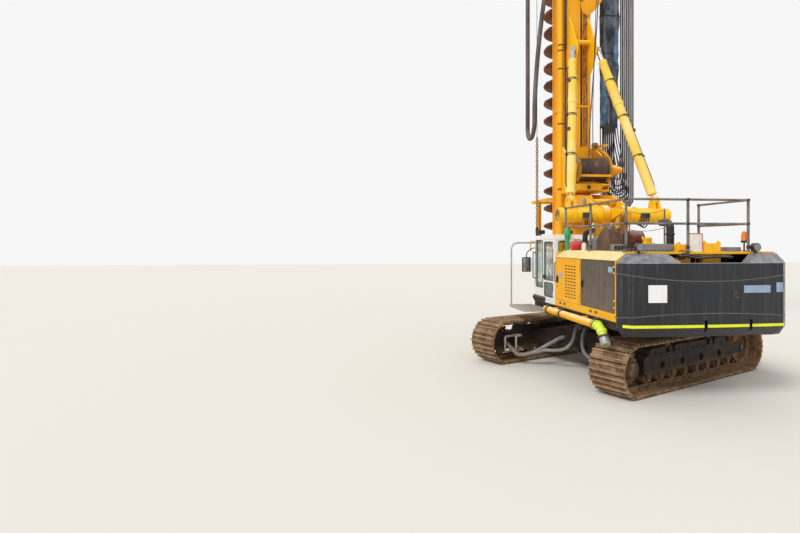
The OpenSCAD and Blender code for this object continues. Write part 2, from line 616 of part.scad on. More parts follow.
module boom_barrels() color("#e8a21c") both() difference() {
    union() {
        on_lift() translate([0, 0, 110]) cylinder(r = lift_r, h = 790);
        on_lift() translate([-lift_w / 2 + 6, -50, 50]) cube([lift_w - 12, 100, 90]);
        xbar(lift_x - lift_w / 2, lift_x + lift_w / 2, lift_foot.x, lift_foot.y, 78);
    }
    on_lift() translate([0, 0, 170]) cylinder(r = lift_rod_r + gap, h = 800);
    xbar(lift_x - lift_w, lift_x + lift_w, lift_foot.x, lift_foot.y, 40 + gap);
}
module boom_rods() color("#b8bcc0") both() difference() {
    union() {
        on_lift() translate([0, 0, 200]) cylinder(r = lift_rod_r, h = lift_len - 260);
        xbar(lift_x - lift_w / 2, lift_x + lift_w / 2, lift_eye.x, lift_eye.y, 88);
    }
    xbar(lift_x - lift_w, lift_x + lift_w, lift_eye.x, lift_eye.y, 60);
}
pivot = [620, 3880];
stay_low = [1040, 0, 3870];
stay_top = [350, 1410, 7900];
stay_len = norm(stay_top - stay_low);
stay_w = 74;
yoke_x = [250, 336];
ear_x = 366;
module head_beam() color("#f2b21c") {
    difference() {
        union() {
            xbar(-tube_half, tube_half, tube_c.x, tube_c.y, tube_r);
            both() xbar(500, 560, tube_c.x, tube_c.y, tube_r + 26);
            both() xbar(arm_x + arm_w / 2 + 6, arm_x + arm_w / 2 + 26, tube_c.x, tube_c.y, tube_r + 40);
        }
        xbar(-tube_half - 1, tube_half + 1, tube_c.x, tube_c.y, tube_r - 24);
    }
    both() difference() {
        for (x = [stay_low.x - stay_w / 2 - 26, stay_low.x + stay_w / 2 + 26]) across(40, x) difference() {
            link_plate(tube_c, [stay_low.y, stay_low.z], tube_r + 14, 90);
            eye(tube_c, tube_r - 12);
        }
    }
    both() xbar(stay_low.x - stay_w / 2 - 50, stay_low.x + stay_w / 2 + 60, stay_low.y, stay_low.z, 40);
    both() across(50, ear_x + 6) difference() {
        link_plate(tube_c, pivot, tube_r + 20, 120);
        eye(tube_c, tube_r - 12);
    }
    xbar(-(ear_x + 50), ear_x + 50, pivot.x, pivot.y, 60);
    // Ears for the link bars, behind the tube
    for (x = [-1, 1]) for (e = [-1, 1]) across(24, x * link_x + e * (link_w / 2 + 16)) difference() {
        link_plate(tube_c, tube_c + link_off, tube_r + 8, 80);
        eye(tube_c, tube_r - 12);
    }
    xbar(-(link_x + link_w / 2 + 26), link_x + link_w / 2 + 26, tube_c.x + link_off.x, tube_c.y + link_off.y, 36);
}
module stay_barrel() difference() {
    union() {
        aim(stay_low, stay_top) {
            translate([0, 0, 150]) cylinder(r = stay_r, h = 2550);
            translate([0, 0, 2640]) cylinder(r = stay_r + 14, h = 90);
        }
        xbar(stay_low.x - stay_w / 2, stay_low.x + stay_w / 2, stay_low.y, stay_low.z, 82);
        bar(stay_low, stay_low + 200 * unit(stay_top - stay_low), 26);
    }
    aim(stay_low, stay_top) translate([0, 0, 240]) cylinder(r = stay_rod_r + gap, h = 2600);
    xbar(stay_low.x - stay_w, stay_low.x + stay_w, stay_low.y, stay_low.z, 40 + gap);
}
module stay_rod() difference() {
    union() {
        aim(stay_low, stay_top) translate([0, 0, 1900]) cylinder(r = stay_rod_r, h = stay_len - 1960);
        xbar(stay_top.x - 35, stay_top.x + 35, stay_top.y, stay_top.z, 92);
    }
    xbar(0, 800, stay_top.y, stay_top.z, 58);
}

// Mast
mast_front = mast_y + mast_d;
rail_out = 60;
module mast() color("#efa21d") {
    translate([0, 0, mast_z0]) linear_extrude(mast_z1 - mast_z0) difference() {
        union() {
            translate([-mast_w / 2, mast_y]) square([mast_w, mast_d]);
            both() translate([mast_w / 2 - 40, mast_front - 45]) square([40 + rail_out, 40]);
        }
        translate([-mast_w / 2 + mast_t, mast_y + mast_t]) square([mast_w - 2 * mast_t, mast_d - 2 * mast_t]);
    }
    for (z = [mast_z0 - 20, mast_z1]) block([-mast_w / 2 - 10, mast_y - 10, z], [mast_w / 2 + 10, mast_front, z + 20]);
    // Two long rub plates with a groove between them
    for (x = [[-mast_w / 2 + 10, 47], [89, mast_w / 2 - 10]])
        block([x[0], mast_y - 12, 5440], [x[1], mast_y + 1, mast_z1]);
    for (z = [6500, 12200]) difference() {
        block([-mast_w / 2 - 30, mast_y - 30, z], [mast_w / 2 + 30, mast_front - 50, z + 60]);
        block([-mast_w / 2 + 1, mast_y - 11, z - 1], [mast_w / 2 - 1, mast_front, z + 61]);
    }
}
module mast_yoke() color("#efa21d") both() difference() {
    across(yoke_x[1] - yoke_x[0], (yoke_x[0] + yoke_x[1]) / 2) difference() {
        union() {
            eye(pivot, 150);
            polygon([[pivot.x - 30, pivot.y - 146], [mast_y, pivot.y - 420], [mast_y, pivot.y + 280],
                [pivot.x + 20, pivot.y + 148]]);
        }
        eye(pivot, 60 + gap);
    }
}
plate_y = mast_y - 12 - gap;
bracket_x = stay_top.x - 90;
module stay_bracket() color("#efa21d") {
    both() across(40, bracket_x) {
        eye([stay_top.y, stay_top.z], 110);
        polygon([[plate_y, 7300], [plate_y, 8900], [mast_y - 180, 8650], [stay_top.y - 100, 7980],
            [stay_top.y - 100, 7820], [mast_y - 200, 7400]]);
    }
    xbar(-bracket_x - 19, bracket_x + 19, mast_y - 150, 8200, 60);
    both() xbar(bracket_x - 18, stay_top.x + 50, stay_top.y, stay_top.z, 40);
}
drum_c = [1160, 4730];
drum_w = 820;
drum_r = 270;
flange_r = 350;
module winch_frame() color("#f2b21c") {
    both() across(40, drum_w / 2 + 40) difference() {
        union() {
            eye(drum_c, 220);
            polygon([[drum_c.x - 180, drum_c.y - 120], [drum_c.x - 60, drum_c.y + 210], [mast_y, 5420], [mast_y, 4230],
                [drum_c.x - 100, 4230]]);
        }
        eye(drum_c, 60 + gap);
    }
    block([-drum_w / 2 - 60, drum_c.x - 100, 4170], [drum_w / 2 + 60, mast_y, 4231]);
    block([-drum_w / 2 - 60, mast_y - 24, 4230], [drum_w / 2 + 60, mast_y, 5420]);
    xbar(drum_w / 2 + 60, drum_w / 2 + 290, drum_c.x, drum_c.y, 130);
    xbar(drum_w / 2 + 290, drum_w / 2 + 370, drum_c.x, drum_c.y, 95);
    xbar(-drum_w / 2 - 20, drum_w / 2 + 20, drum_c.x - 140, drum_c.y - 400, 24);
}
module main_drum() color("#3d2f2a") {
    xbar(-drum_w / 2 + 10, drum_w / 2 - 10, drum_c.x, drum_c.y, drum_r);
    both() xbar(drum_w / 2 - 30, drum_w / 2, drum_c.x, drum_c.y, flange_r);
    xbar(-drum_w / 2 - 55, drum_w / 2 + 55, drum_c.x, drum_c.y, 60);
}
guide_x = 500;
guide_z = [2600, 4130];
module auger_guide() color("#f0a81e") {
    both() {
        block([guide_x - 40, mast_front, guide_z[1] - 80], [guide_x + 40, 3850, guide_z[1]]);
        block([mast_w / 2 - 60, mast_front, guide_z[1] - 80], [guide_x + 40, mast_front + 80, guide_z[1]]);
        block([guide_x - 40, 3300, guide_z[0]], [guide_x + 40, 3380, guide_z[1]]);
        block([guide_x - 40, mast_front, guide_z[0]], [guide_x + 40, 3380, guide_z[0] + 80]);
        block([mast_w / 2 - 60, mast_front, guide_z[0]], [guide_x + 40, mast_front + 80, guide_z[0] + 80]);
    }
    block([-guide_x - 40, 3850, guide_z[1] - 80], [guide_x + 40, 3910, guide_z[1]]);
    translate([0, auger_y, guide_z[0]]) difference() {
        cylinder(r = guide_x + 10, h = 80);
        translate([0, 0, -1]) cylinder(r = auger_d / 2 + 60, h = 82);
    }
}
riser = [-465, 1902];
drop = [-750, 2200];
bend_z = 10450;
bend_r = norm(drop - riser) / 2;
module mast_pipe() color("#f0a81e") {
    difference() {
        translate([riser.x, riser.y, 1700]) cylinder(r = pipe_r, h = bend_z - 1700);
        translate([riser.x, riser.y, 1699]) cylinder(r = pipe_r - pipe_t, h = bend_z - 1698);
    }
    translate([riser.x, riser.y, bend_z]) rotate([0, 0, atan2(drop.y - riser.y, drop.x - riser.x)])
        bend(bend_r, 180, pipe_r, pipe_r - pipe_t) hose_tail(120 - gap, pipe_r - pipe_t);
    for (z = [2100 : 1500 : 9600]) difference() {
        block([riser.x - pipe_r - 20, riser.y - 20, z], [-mast_w / 2 - gap, riser.y + 20, z + 60]);
        translate([riser.x, riser.y, z - 1]) cylinder(r = pipe_r - 1, h = 62);
    }
}
arm_z = 11460;
module hose_arms() color("#f0a81e") {
    block([mast_w / 2, 2340, arm_z], [1440, 2500, arm_z + 80]);
    block([mast_w / 2, 2280, 5340], [900, 2360, 5420]);
}
sheave_r = 330;
sheaves_y = [1500, 3000];
crown_z = mast_z1 + 520;
module crown() color("#efa21d") {
    both() across(24, 130) difference() {
        polygon([[mast_y, mast_z1 + 20], [sheaves_y[0] - 150, crown_z - 60], [sheaves_y[0] - 100, crown_z + 120],
            [sheaves_y[1] + 100, crown_z + 120], [sheaves_y[1] + 150, crown_z - 60],
            [mast_front - 20, mast_z1 + 20]]);
        for (y = sheaves_y) eye([y, crown_z], 39);
    }
    block([-118, mast_y + 60, mast_z1 + 20], [118, mast_front - 60, mast_z1 + 50]);
    for (y = sheaves_y) xbar(-150, 150, y, crown_z, 40);
}
module sheave(y) color("#8a6a2a") difference() {
    xbar(-50, 50, y, crown_z, sheave_r);
    xbar(-51, 51, y, crown_z, 40 + gap);
    translate([0, y, crown_z]) rotate([0, 90, 0]) rotate_extrude() translate([sheave_r + 8, 0]) circle(32);
}

// Rotary head and auger
head_z = 15000;
module head_carriage() color("#f0a81e") {
    difference() {
        block([-mast_w / 2 - 100, mast_front - 90, head_z], [mast_w / 2 + 100, mast_front + 120, head_z + 1500]);
        block([-mast_w / 2 - rail_out - gap, mast_front - 45 - gap, head_z - 1],
            [mast_w / 2 + rail_out + gap, mast_front - 5 + gap, head_z + 1501]);
        block([-mast_w / 2 - 6, mast_front - 40, head_z - 1], [mast_w / 2 + 6, mast_front + 8, head_z + 1501]);
        block([-mast_w / 2 - 6, mast_front - 100, head_z - 1], [mast_w / 2 + 6, mast_front + 8, head_z + 1501]);
    }
    both() across(30, 300) polygon([[mast_front + 119, head_z + 150], [auger_y - 340, head_z + 300],
        [auger_y - 340, head_z + 1000], [mast_front + 119, head_z + 1400]]);
    block([-300, mast_front + 119, head_z + 300], [300, auger_y - 440, head_z + 340]);
    // Bar that carries the hanging hydraulic hoses
    block([mast_w / 2 + 100, 2540, head_z + 900], [1900, 2620, head_z + 980]);
    block([1240, 2360, head_z + 900], [1900, 2541, head_z + 980]);
}
module rotary_drive() color("#e7e5dc") translate([0, auger_y, head_z]) {
    translate([0, 0, 250]) cylinder(r = 420, h = 700);
    cylinder(r = 200, h = 251);
    block([-320, -340 + gap, 340], [320, 0, 940]);
    for (a = [60, 180, 300]) rotate(a) translate([270, 0, 950]) {
        cylinder(r = 105, h = 260);
        translate([0, 0, 260]) cylinder(r = 80, h = 130);
    }
}
hose_head = [-950, 3100];
neck_z = head_z + 1500;
neck_r = 300;
module gooseneck() color("#f0a81e") {
    d = norm(hose_head - [0, auger_y]);
    ri = pipe_r - pipe_t;
    translate([0, auger_y, 0]) {
        translate([0, 0, head_z + 950 + gap]) pipe(330, 140, ri);
        translate([0, 0, head_z + 1280]) pipe(neck_z - head_z - 1280, pipe_r, ri);
        translate([0, 0, neck_z]) rotate([0, 0, atan2(hose_head.y - auger_y, hose_head.x)])
            bend(neck_r, 90, pipe_r, ri) {
                pipe(d - 2 * neck_r, pipe_r, ri);
                translate([0, 0, d - 2 * neck_r]) bend(neck_r, 90, pipe_r, ri) hose_tail(200 - gap, ri);
            }
    }
}
// Flight and stem as one closed skin: each step has two points on the stem and two on the rim
flight_t = 22;
steps = 16;
stem_z = [auger_tip + 150, head_z - 450];
flight_z = [stem_z[0] + 60, stem_z[1] - 250];
turns = (flight_z[1] - flight_z[0]) / auger_pitch;
last = floor(turns * steps);
function on_step(i, r, z) = [r * cos(360 * i / steps), r * sin(360 * i / steps), z];
module auger() color("#7a4a2c") translate([0, auger_y, 0]) {
    z = [for (i = [0 : last]) flight_z[0] + auger_pitch * i / steps];
    rows = [for (i = [0 : last]) for (c = [[stem_d / 2, 0], [auger_d / 2, 0], [auger_d / 2, flight_t],
        [stem_d / 2, flight_t]]) on_step(i, c[0], z[i] + c[1])];
    n = 4 * (last + 1);
    ends = [for (e = stem_z) for (k = [0 : steps - 1]) on_step(k, stem_d / 2, e)];
    // Point numbers: a and d on the stem, b and c on the rim, lo and hi on the stem's ends
    a = function(i) 4 * i;
    d = function(i) 4 * i + 3;
    lo = function(i) n + i % steps;
    hi = function(i) n + steps + i % steps;
    under = [for (i = [0 : last - 1]) for (f = [[a(i), a(i) + 1, a(i) + 5], [a(i), a(i) + 5, a(i) + 4]]) f];
    rim = [for (i = [0 : last - 1]) [a(i) + 1, a(i) + 2, a(i) + 6, a(i) + 5]];
    over = [for (i = [0 : last - 1]) for (f = [[a(i) + 2, a(i) + 3, a(i) + 6], [a(i) + 3, a(i) + 7, a(i) + 6]]) f];
    between = [for (i = [0 : last - steps - 1]) [d(i), a(i + steps), a(i + steps + 1), d(i + 1)]];
    below = [for (i = [0 : steps - 2]) [lo(i), a(i), a(i + 1), lo(i + 1)]];
    above = [for (i = [last - steps + 1 : last - 1]) [d(i), hi(i), hi(i + 1), d(i + 1)]];
    // Where the flight starts and ends, the stem's facet has extra corners and is cut into triangles
    start = [a(steps), d(0), a(0), lo(0), lo(steps - 1)];
    stop = [d(last - steps), a(last), d(last), hi(last), hi(last + 1)];
    seams = [for (k = [0 : 3]) for (f = [[a(steps - 1), start[k], start[k + 1]],
        [d(last - steps + 1), stop[k], stop[k + 1]]]) f];
    caps = [[0, 3, 2, 1], [4 * last, 4 * last + 1, 4 * last + 2, 4 * last + 3],
        [for (k = [0 : steps - 1]) n + k], [for (k = [steps - 1 : -1 : 0]) n + steps + k]];
    polyhedron(concat(rows, ends), concat(under, rim, over, between, below, above, seams, caps), convexity = 20);
}
module auger_bit() color("#6a4028") translate([0, auger_y, auger_tip]) {
    translate([0, 0, 60]) cylinder(r1 = 30, r2 = stem_d / 2 - 4, h = 90 - gap, $fn = 48);
    cylinder(r1 = 4, r2 = 30, h = 60, $fn = 48);
}
module auger_coupling() color("#6a4028") translate([0, auger_y, 0]) {
    translate([0, 0, stem_z[1] + gap]) cylinder(r = 125, h = 300);
    translate([0, 0, stem_z[1] + 300]) cylinder(r = 90, h = head_z - stem_z[1] - 300 - gap);
}

// Hoses that hang free between the mast and the rotary head
HOSE_R = 60;
HYDRAULIC_R = 22;
CONCRETE_ROUTE = [
    [-950, 3100, 16300], [-950, 3100, 15000], [-950, 3100, 13500], [-950, 3100, 12000],
    [-950, 3100, 10500], [-950, 3100, 9000], [-950, 3100, 7800], [-950, 3100, 6800],
    [-950, 3105, 6260], [-960, 3070, 6085], [-980, 2970, 5940], [-1000, 2825, 5840],
    [-1020, 2650, 5805], [-1040, 2475, 5840], [-1060, 2330, 5940], [-1075, 2230, 6085],
    [-1085, 2195, 6260], [-1080, 2190, 6700], [-1040, 2195, 7400], [-970, 2200, 8200],
    [-880, 2200, 9000], [-800, 2200, 9600], [-760, 2200, 10000], [-750, 2200, 10200],
    [-750, 2200, 10330]];
// For each hydraulic hose: inner leg, outer leg, height of its lowest bend's middle, place from the rear
HYDRAULIC = [for (row = [0, 1]) for (i = [0 : 5])
    [1000 + 62 * i + 20 * row, 1880 - 62 * i - 20 * row, 4170 + 60 * i * (row + 1), 2390 + 60 * row]];
function hydraulic_route(h) =
    let (c = (h[0] + h[1]) / 2, r = (h[1] - h[0]) / 2)
    concat([for (z = [arm_z, 10000, 8500, 7000, 5700]) [h[0], h[3], z]],
        [for (i = [0 : 8]) [c - r * cos(22.5 * i), h[3], h[2] - r * sin(22.5 * i)]],
        [for (z = [5700, 7000, 8500, 10000, 11500, 13000, 14500, 15900]) [h[1], h[3], z]]);
module concrete_hose() color("#222326") sweep(CONCRETE_ROUTE, HOSE_R, [0, 1, 0], 10);
module hydraulic_hoses() color("#26272a") for (h = HYDRAULIC) sweep(hydraulic_route(h), HYDRAULIC_R, [0, 1, 0], 8);
// Fabric sleeves round the hoses under the arm
module wrap_ring(x, r) translate([(x[0] + x[1]) / 2, 2420]) {
    square([x[1] - x[0] - 2 * r, 2 * r], center = true);
    for (e = [-1, 1]) translate([e * ((x[1] - x[0]) / 2 - r), 0]) circle(r);
}
module hose_wrap() color("#3b4048") difference() {
    union() {
        translate([0, 0, 6100]) linear_extrude(arm_z - gap - 6100) wrap_ring([930, 1410], 78);
        translate([0, 0, 6900]) linear_extrude(2400) wrap_ring([912, 1428], 92);
    }
    translate([0, 0, 6099]) linear_extrude(arm_z - 6098) wrap_ring([942, 1398], 66);
}

car_body();
track_frames();
track(-1);  // track_left
track(1);  // track_right
sprockets();
idlers();
rollers();
slew_ring();
travel_hoses();
deck();
boom_feet();
counterweight();
engine();
house_frame();
right_tank();
handrails();
deck_gear();
exhaust();
work_lamps();
cab_shell();
cab_glass();
cab_seat();
delivery_pipe();
delivery_elbow();
cab_door();
cab_door_glass();
color("#f0a81e") mirror([1, 0, 0]) front_door();  // door_left_front
color("#4a443c") mirror([1, 0, 0]) rear_door();  // door_left_rear
color("#f0a81e") front_door();  // door_right_front
color("#4a443c") rear_door();  // door_right_rear
boom();
link_bars();
boom_barrels();
boom_rods();
head_beam();
color("#f3cf62") both() stay_barrel();  // stay_barrels
color("#f3cf62") mirror([1, 0, 0]) stay_rod();  // stay_rod_left
color("#f3cf62") stay_rod();  // stay_rod_right
mast();
mast_yoke();
stay_bracket();
winch_frame();
main_drum();
auger_guide();
mast_pipe();
hose_arms();
crown();
sheave(sheaves_y[0]);  // sheave_rear
sheave(sheaves_y[1]);  // sheave_front
head_carriage();
rotary_drive();
gooseneck();
auger();
auger_bit();
auger_coupling();
concrete_hose();
hydraulic_hoses();
hose_wrap();
cab_platform();
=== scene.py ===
"""Looks of a crawler piling rig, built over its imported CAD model."""
import logging
from dataclasses import dataclass
from enum import Enum
from math import cos, hypot, pi, radians, sin

import bmesh
import bpy
from bpy.types import Material, Mesh, Node, NodeSocket, NodeTree, Object, bpy_prop_collection
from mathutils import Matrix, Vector


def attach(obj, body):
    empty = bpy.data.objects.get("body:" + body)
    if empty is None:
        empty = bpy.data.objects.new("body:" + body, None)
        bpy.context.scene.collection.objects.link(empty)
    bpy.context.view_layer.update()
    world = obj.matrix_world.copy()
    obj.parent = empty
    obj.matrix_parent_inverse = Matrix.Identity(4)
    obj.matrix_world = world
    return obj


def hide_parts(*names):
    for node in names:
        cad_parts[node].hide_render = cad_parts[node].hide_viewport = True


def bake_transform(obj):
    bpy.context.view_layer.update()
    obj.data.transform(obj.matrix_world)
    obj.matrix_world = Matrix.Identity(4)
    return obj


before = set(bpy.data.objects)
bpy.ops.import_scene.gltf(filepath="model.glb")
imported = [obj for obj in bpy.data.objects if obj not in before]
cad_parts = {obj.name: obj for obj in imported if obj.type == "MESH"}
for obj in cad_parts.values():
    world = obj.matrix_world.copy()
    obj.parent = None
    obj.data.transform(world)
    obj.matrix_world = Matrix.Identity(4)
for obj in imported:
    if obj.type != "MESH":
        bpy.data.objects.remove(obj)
LOG = logging.getLogger("piling_rig")
Triple = tuple[float, float, float]
Pair = tuple[float, float]
Path = list[Triple]
UP: Triple = (0.0, 0.0, 1.0)


class Body(Enum):
    """CAD bodies that the pieces ride on."""

    UNDER = "undercarriage"
    HOUSE = "house"
    CAB_DOOR = "cab_door"
    DOOR_LF = "door_left_front"
    DOOR_LR = "door_left_rear"
    DOOR_RF = "door_right_front"
    DOOR_RR = "door_right_rear"
    BOOM = "boom"
    HEAD = "head_beam"
    STAYS = "stay_barrels"
    MAST = "mast"
    DRUM = "main_drum"
    ROTARY = "rotary_head"
    AUGER = "auger"


class Unit(Enum):
    """Small shapes that are repeated over points."""

    BOLT = "bolt"
    BLOCK = "block"
    BAND = "band"


def linear(code: str) -> tuple[float, float, float, float]:
    """Turns an sRGB hex colour into linear light.

    Args:
        code: The colour, such as "#f2a81c".

    Returns:
        Linear red, green, blue and an alpha of 1.
    """
    parts = [int(code[i:i + 2], 16) / 255 for i in (1, 3, 5)]
    red, green, blue = [p / 12.92 if p <= 0.04045 else ((p + 0.055) / 1.055) ** 2.4 for p in parts]
    return red, green, blue, 1.0


def put(tree: NodeTree, kind: str, settings: dict | None = None, links: dict | None = None) -> Node:
    """Adds a node with its settings and links.

    Args:
        tree: The node tree.
        kind: The node's type.
        settings: Property names, or input names and numbers, and their values.
        links: Input names or numbers, and the output sockets that feed them.

    Returns:
        The new node.
    """
    node = tree.nodes.new(kind)
    for key, value in (settings or {}).items():
        if isinstance(key, str) and key in node.bl_rna.properties:
            setattr(node, key, value)
        else:
            node.inputs[key].default_value = value
    for key, socket in (links or {}).items():
        tree.links.new(socket, node.inputs[key])
    return node


class Finish:
    """What all finishes share: the material is built at the first call for it."""

    name: str

    def _shade(self, tree: NodeTree) -> None:
        """Fills the material's empty node tree."""
        raise NotImplementedError

    def material(self) -> Material:
        """Gives the finish's material.

        Returns:
            The same material at each call.
        """
        made = bpy.data.materials.get(self.name)
        if made is None:
            made = bpy.data.materials.new(self.name)
            made.use_nodes = True
            made.node_tree.nodes.clear()
            self._shade(made.node_tree)
        return made


MM_PER_M = 1000.0
# Noise levels, slopes or bevel matches between which each layer of a finish fades in
PATCH_FADE, STREAK_FADE, SPECK_FADE, CLUSTER_FADE = (0.42, 0.62), (0.5, 0.74), (0.6, 0.68), (0.45, 0.65)
EDGE_FADE, DUST_AND_HIGHLIGHT_FADE, GLOSS_FADE = (0.985, 0.86), (0.15, 0.9), (0.35, 0.65)
# Grains to the metre of the fine noise, the rain runs, the clusters of specks and the mud's splashes
FINE_GRAIN, RUN_GRAIN, CLUSTER_GRAIN, SPLASH_GRAIN = 9.0, 16.0, 1.7, 5.0
# The patches' upright grain as a share of the one across, and the runs' upright grain to the metre
PATCH_STRETCH, RUN_HEIGHT = 0.7, 0.7
# The wave texture's scale at which its threads lie a millimetre apart
THREAD_SCALE = 314.0
# How far a share of dust and painted highlight, or of mud, is raised, and where mud is at its full share, as a part
# of its height
DUST_AND_HIGHLIGHT_GAIN, MUD_GAIN, MUD_FOOT = 1.5, 1.9, 0.25


@dataclass(frozen=True)
class Surface(Finish):
    """A finish, from the clean base outwards: sun-bleached patches, runs of dirt, specks of rust, worn edges, a dusty
    pale layer on level faces that on some finishes is also a painted highlight, and mud near the ground. Each layer
    is None or its colour and the share of it that shows.

    Patches and specks add their size, and an edge has its width, in millimetres; mud has its height in metres.
    The grain of the bump is its size and its depth in millimetres; slot, the record's material slot, is not used.
    """

    name: str
    base: str
    slot: str = ""
    patch: tuple[str, float, float] | None = None
    streak: tuple[str, float] | None = None
    speck: tuple[str, float, float] | None = None
    dust_and_top_highlight: tuple[str, float] | None = None
    mud: tuple[str, float] | None = None
    edge: tuple[str, float] | None = None
    grain: Pair = (5.0, 0.15)
    rough: Pair = (0.38, 0.6)
    metallic: float = 0.0
    coat: float = 0.0
    weave_mm: float = 0.0
    sheen: float = 0.5

    def _noise(self, tree: NodeTree, place: NodeSocket, grain: float, detail: float = 3.0,
               upright: float | None = None) -> NodeSocket:
        """Makes noise.

        Args:
            tree: The material's tree.
            place: The coordinates that it is taken at.
            grain: Its grains to the metre.
            detail: How many finer noises are added to it.
            upright: Its grains to the metre upright, where they differ.

        Returns:
            The noise's socket.
        """
        moved = put(tree, "ShaderNodeMapping", {"Scale": (grain, grain, upright or grain)}, {"Vector": place})
        return put(tree, "ShaderNodeTexNoise", {"Scale": 1.0, "Detail": detail},
            {"Vector": moved.outputs[0]}).outputs[0]

    def _mask(self, tree: NodeTree, value: NodeSocket, fade: Pair,
              share: float, times: NodeSocket | None = None) -> NodeSocket:
        """Makes a layer's mask.

        Args:
            tree: The material's tree.
            value: What the mask is made from.
            fade: The values at which it is 0 and full.
            share: The mask where it is full.
            times: Another mask that it is multiplied by.

        Returns:
            The mask's socket.
        """
        span = put(tree, "ShaderNodeMapRange", {1: fade[0], 2: fade[1], 3: 0.0, 4: share}, {0: value})
        if times is None:
            return span.outputs[0]
        return put(tree, "ShaderNodeMath", {"operation": "MULTIPLY"}, {0: span.outputs[0], 1: times}).outputs[0]

    def _layers(self, tree: NodeTree, where: Node, fine: NodeSocket) -> list[tuple[str, NodeSocket]]:
        """Makes the masks of all layers that the finish has.

        Args:
            tree: The material's tree.
            where: The texture coordinates.
            fine: The fine noise that breaks up runs, edges and the dusty pale top layer.

        Returns:
            Each layer's colour and mask, the lowest first.
        """
        place, normal = where.outputs["Object"], where.outputs["Normal"]
        layers = []
        if self.patch:
            code, share, size = self.patch
            grain = MM_PER_M / size
            broad = self._noise(tree, place, grain, 5.0, grain * PATCH_STRETCH)
            layers.append((code, self._mask(tree, broad, PATCH_FADE, share)))
        if self.streak:
            code, share = self.streak
            runs = self._noise(tree, place, RUN_GRAIN, 4.0, RUN_HEIGHT)
            layers.append((code, self._mask(tree, runs, STREAK_FADE, share, fine)))
        if self.speck:
            code, share, size = self.speck
            spots = self._noise(tree, place, MM_PER_M / size, 2.0)
            clusters = self._mask(tree, self._noise(tree, place, CLUSTER_GRAIN), CLUSTER_FADE, 1.0)
            layers.append((code, self._mask(tree, spots, SPECK_FADE, share, clusters)))
        if self.edge:
            code, width = self.edge
            soft = put(tree, "ShaderNodeBevel", {"samples": 4, "Radius": width / MM_PER_M})
            flat = put(tree, "ShaderNodeNewGeometry")
            match = put(tree, "ShaderNodeVectorMath", {"operation": "DOT_PRODUCT"}, {0: soft.outputs[0],
                1: flat.outputs["Normal"]})
            layers.append((code, self._mask(tree, match.outputs["Value"], EDGE_FADE, 1.0, fine)))
        # Pale on faces that look up: dust, and on the yellow and charcoal enamels also a painted highlight
        if self.dust_and_top_highlight:
            code, share = self.dust_and_top_highlight
            up = put(tree, "ShaderNodeSeparateXYZ", {}, {0: normal})
            layers.append((code, self._mask(tree, up.outputs[2], DUST_AND_HIGHLIGHT_FADE, share * DUST_AND_HIGHLIGHT_GAIN, fine)))
        if self.mud:
            code, top = self.mud
            height = put(tree, "ShaderNodeSeparateXYZ", {}, {0: place})
            splash = self._noise(tree, place, SPLASH_GRAIN, 8.0)
            layers.append((code, self._mask(tree, height.outputs[2], (top, top * MUD_FOOT), MUD_GAIN, splash)))
        return layers

    def _shade(self, tree: NodeTree) -> None:
        """Lays the layers over the base colour, with the grain's bump and an uneven gloss.

        Args:
            tree: The material's empty tree.
        """
        where = put(tree, "ShaderNodeTexCoord")
        place = where.outputs["Object"]
        fine = self._noise(tree, place, FINE_GRAIN, 6.0)
        colour = None
        for code, mask in self._layers(tree, where, fine):
            mix = put(tree, "ShaderNodeMix", {"data_type": "RGBA", 6: linear(self.base), 7: linear(code)}, {0: mask})
            if colour is not None:
                tree.links.new(colour, mix.inputs[6])
            colour = mix.outputs[2]
        size, depth = self.grain
        height = self._noise(tree, place, MM_PER_M / size, 4.0)
        if self.weave_mm:
            threads = put(tree, "ShaderNodeTexWave", {"wave_type": "BANDS", "bands_direction": "DIAGONAL",
                "Scale": THREAD_SCALE / self.weave_mm, "Distortion": 0.6}, {"Vector": place})
            height = put(tree, "ShaderNodeMath", {"operation": "ADD"}, {0: height, 1: threads.outputs[1]}).outputs[0]
        bump = put(tree, "ShaderNodeBump", {"Distance": depth / MM_PER_M, "Strength": 1.0}, {"Height": height})
        gloss = put(tree, "ShaderNodeMapRange", {1: GLOSS_FADE[0], 2: GLOSS_FADE[1], 3: self.rough[0],
            4: self.rough[1]}, {0: fine})
        shader = put(tree, "ShaderNodeBsdfPrincipled", {"Base Color": linear(self.base), "Metallic": self.metallic,
            "Coat Weight": self.coat, "Coat Roughness": 0.12, "Specular IOR Level": self.sheen},
            {"Roughness": gloss.outputs[0], "Normal": bump.outputs[0]})
        if colour is not None:
            tree.links.new(colour, shader.inputs["Base Color"])
        put(tree, "ShaderNodeOutputMaterial", {}, {"Surface": shader.outputs[0]})


@dataclass(frozen=True)
class Pane(Finish):
    """Flat safety glass: clear, faintly green, with a dusty film that dulls it in patches."""

    name: str = "safety_glass"
    tint: str = "#dfe9e6"
    film: Pair = (0.4, 0.7)
    rough: Pair = (0.02, 0.16)

    def _shade(self, tree: NodeTree) -> None:
        """Makes clear glass whose roughness varies with its dusty film.

        Args:
            tree: The material's empty tree.
        """
        where = put(tree, "ShaderNodeTexCoord")
        film = put(tree, "ShaderNodeTexNoise", {"Scale": 3.0, "Detail": 6.0}, {0: where.outputs["Object"]})
        dull = put(tree, "ShaderNodeMapRange", {1: self.film[0], 2: self.film[1], 3: self.rough[0],
            4: self.rough[1]}, {0: film.outputs[0]})
        shader = put(tree, "ShaderNodeBsdfPrincipled", {"Base Color": linear(self.tint), "Transmission Weight": 1.0,
            "IOR": 1.45}, {"Roughness": dull.outputs[0]})
        put(tree, "ShaderNodeOutputMaterial", {}, {"Surface": shader.outputs[0]})


# Colours of what lies on most of the rig
ROAD_DUST, WET_CLAY = "#b8a78c", "#8d6c4b"
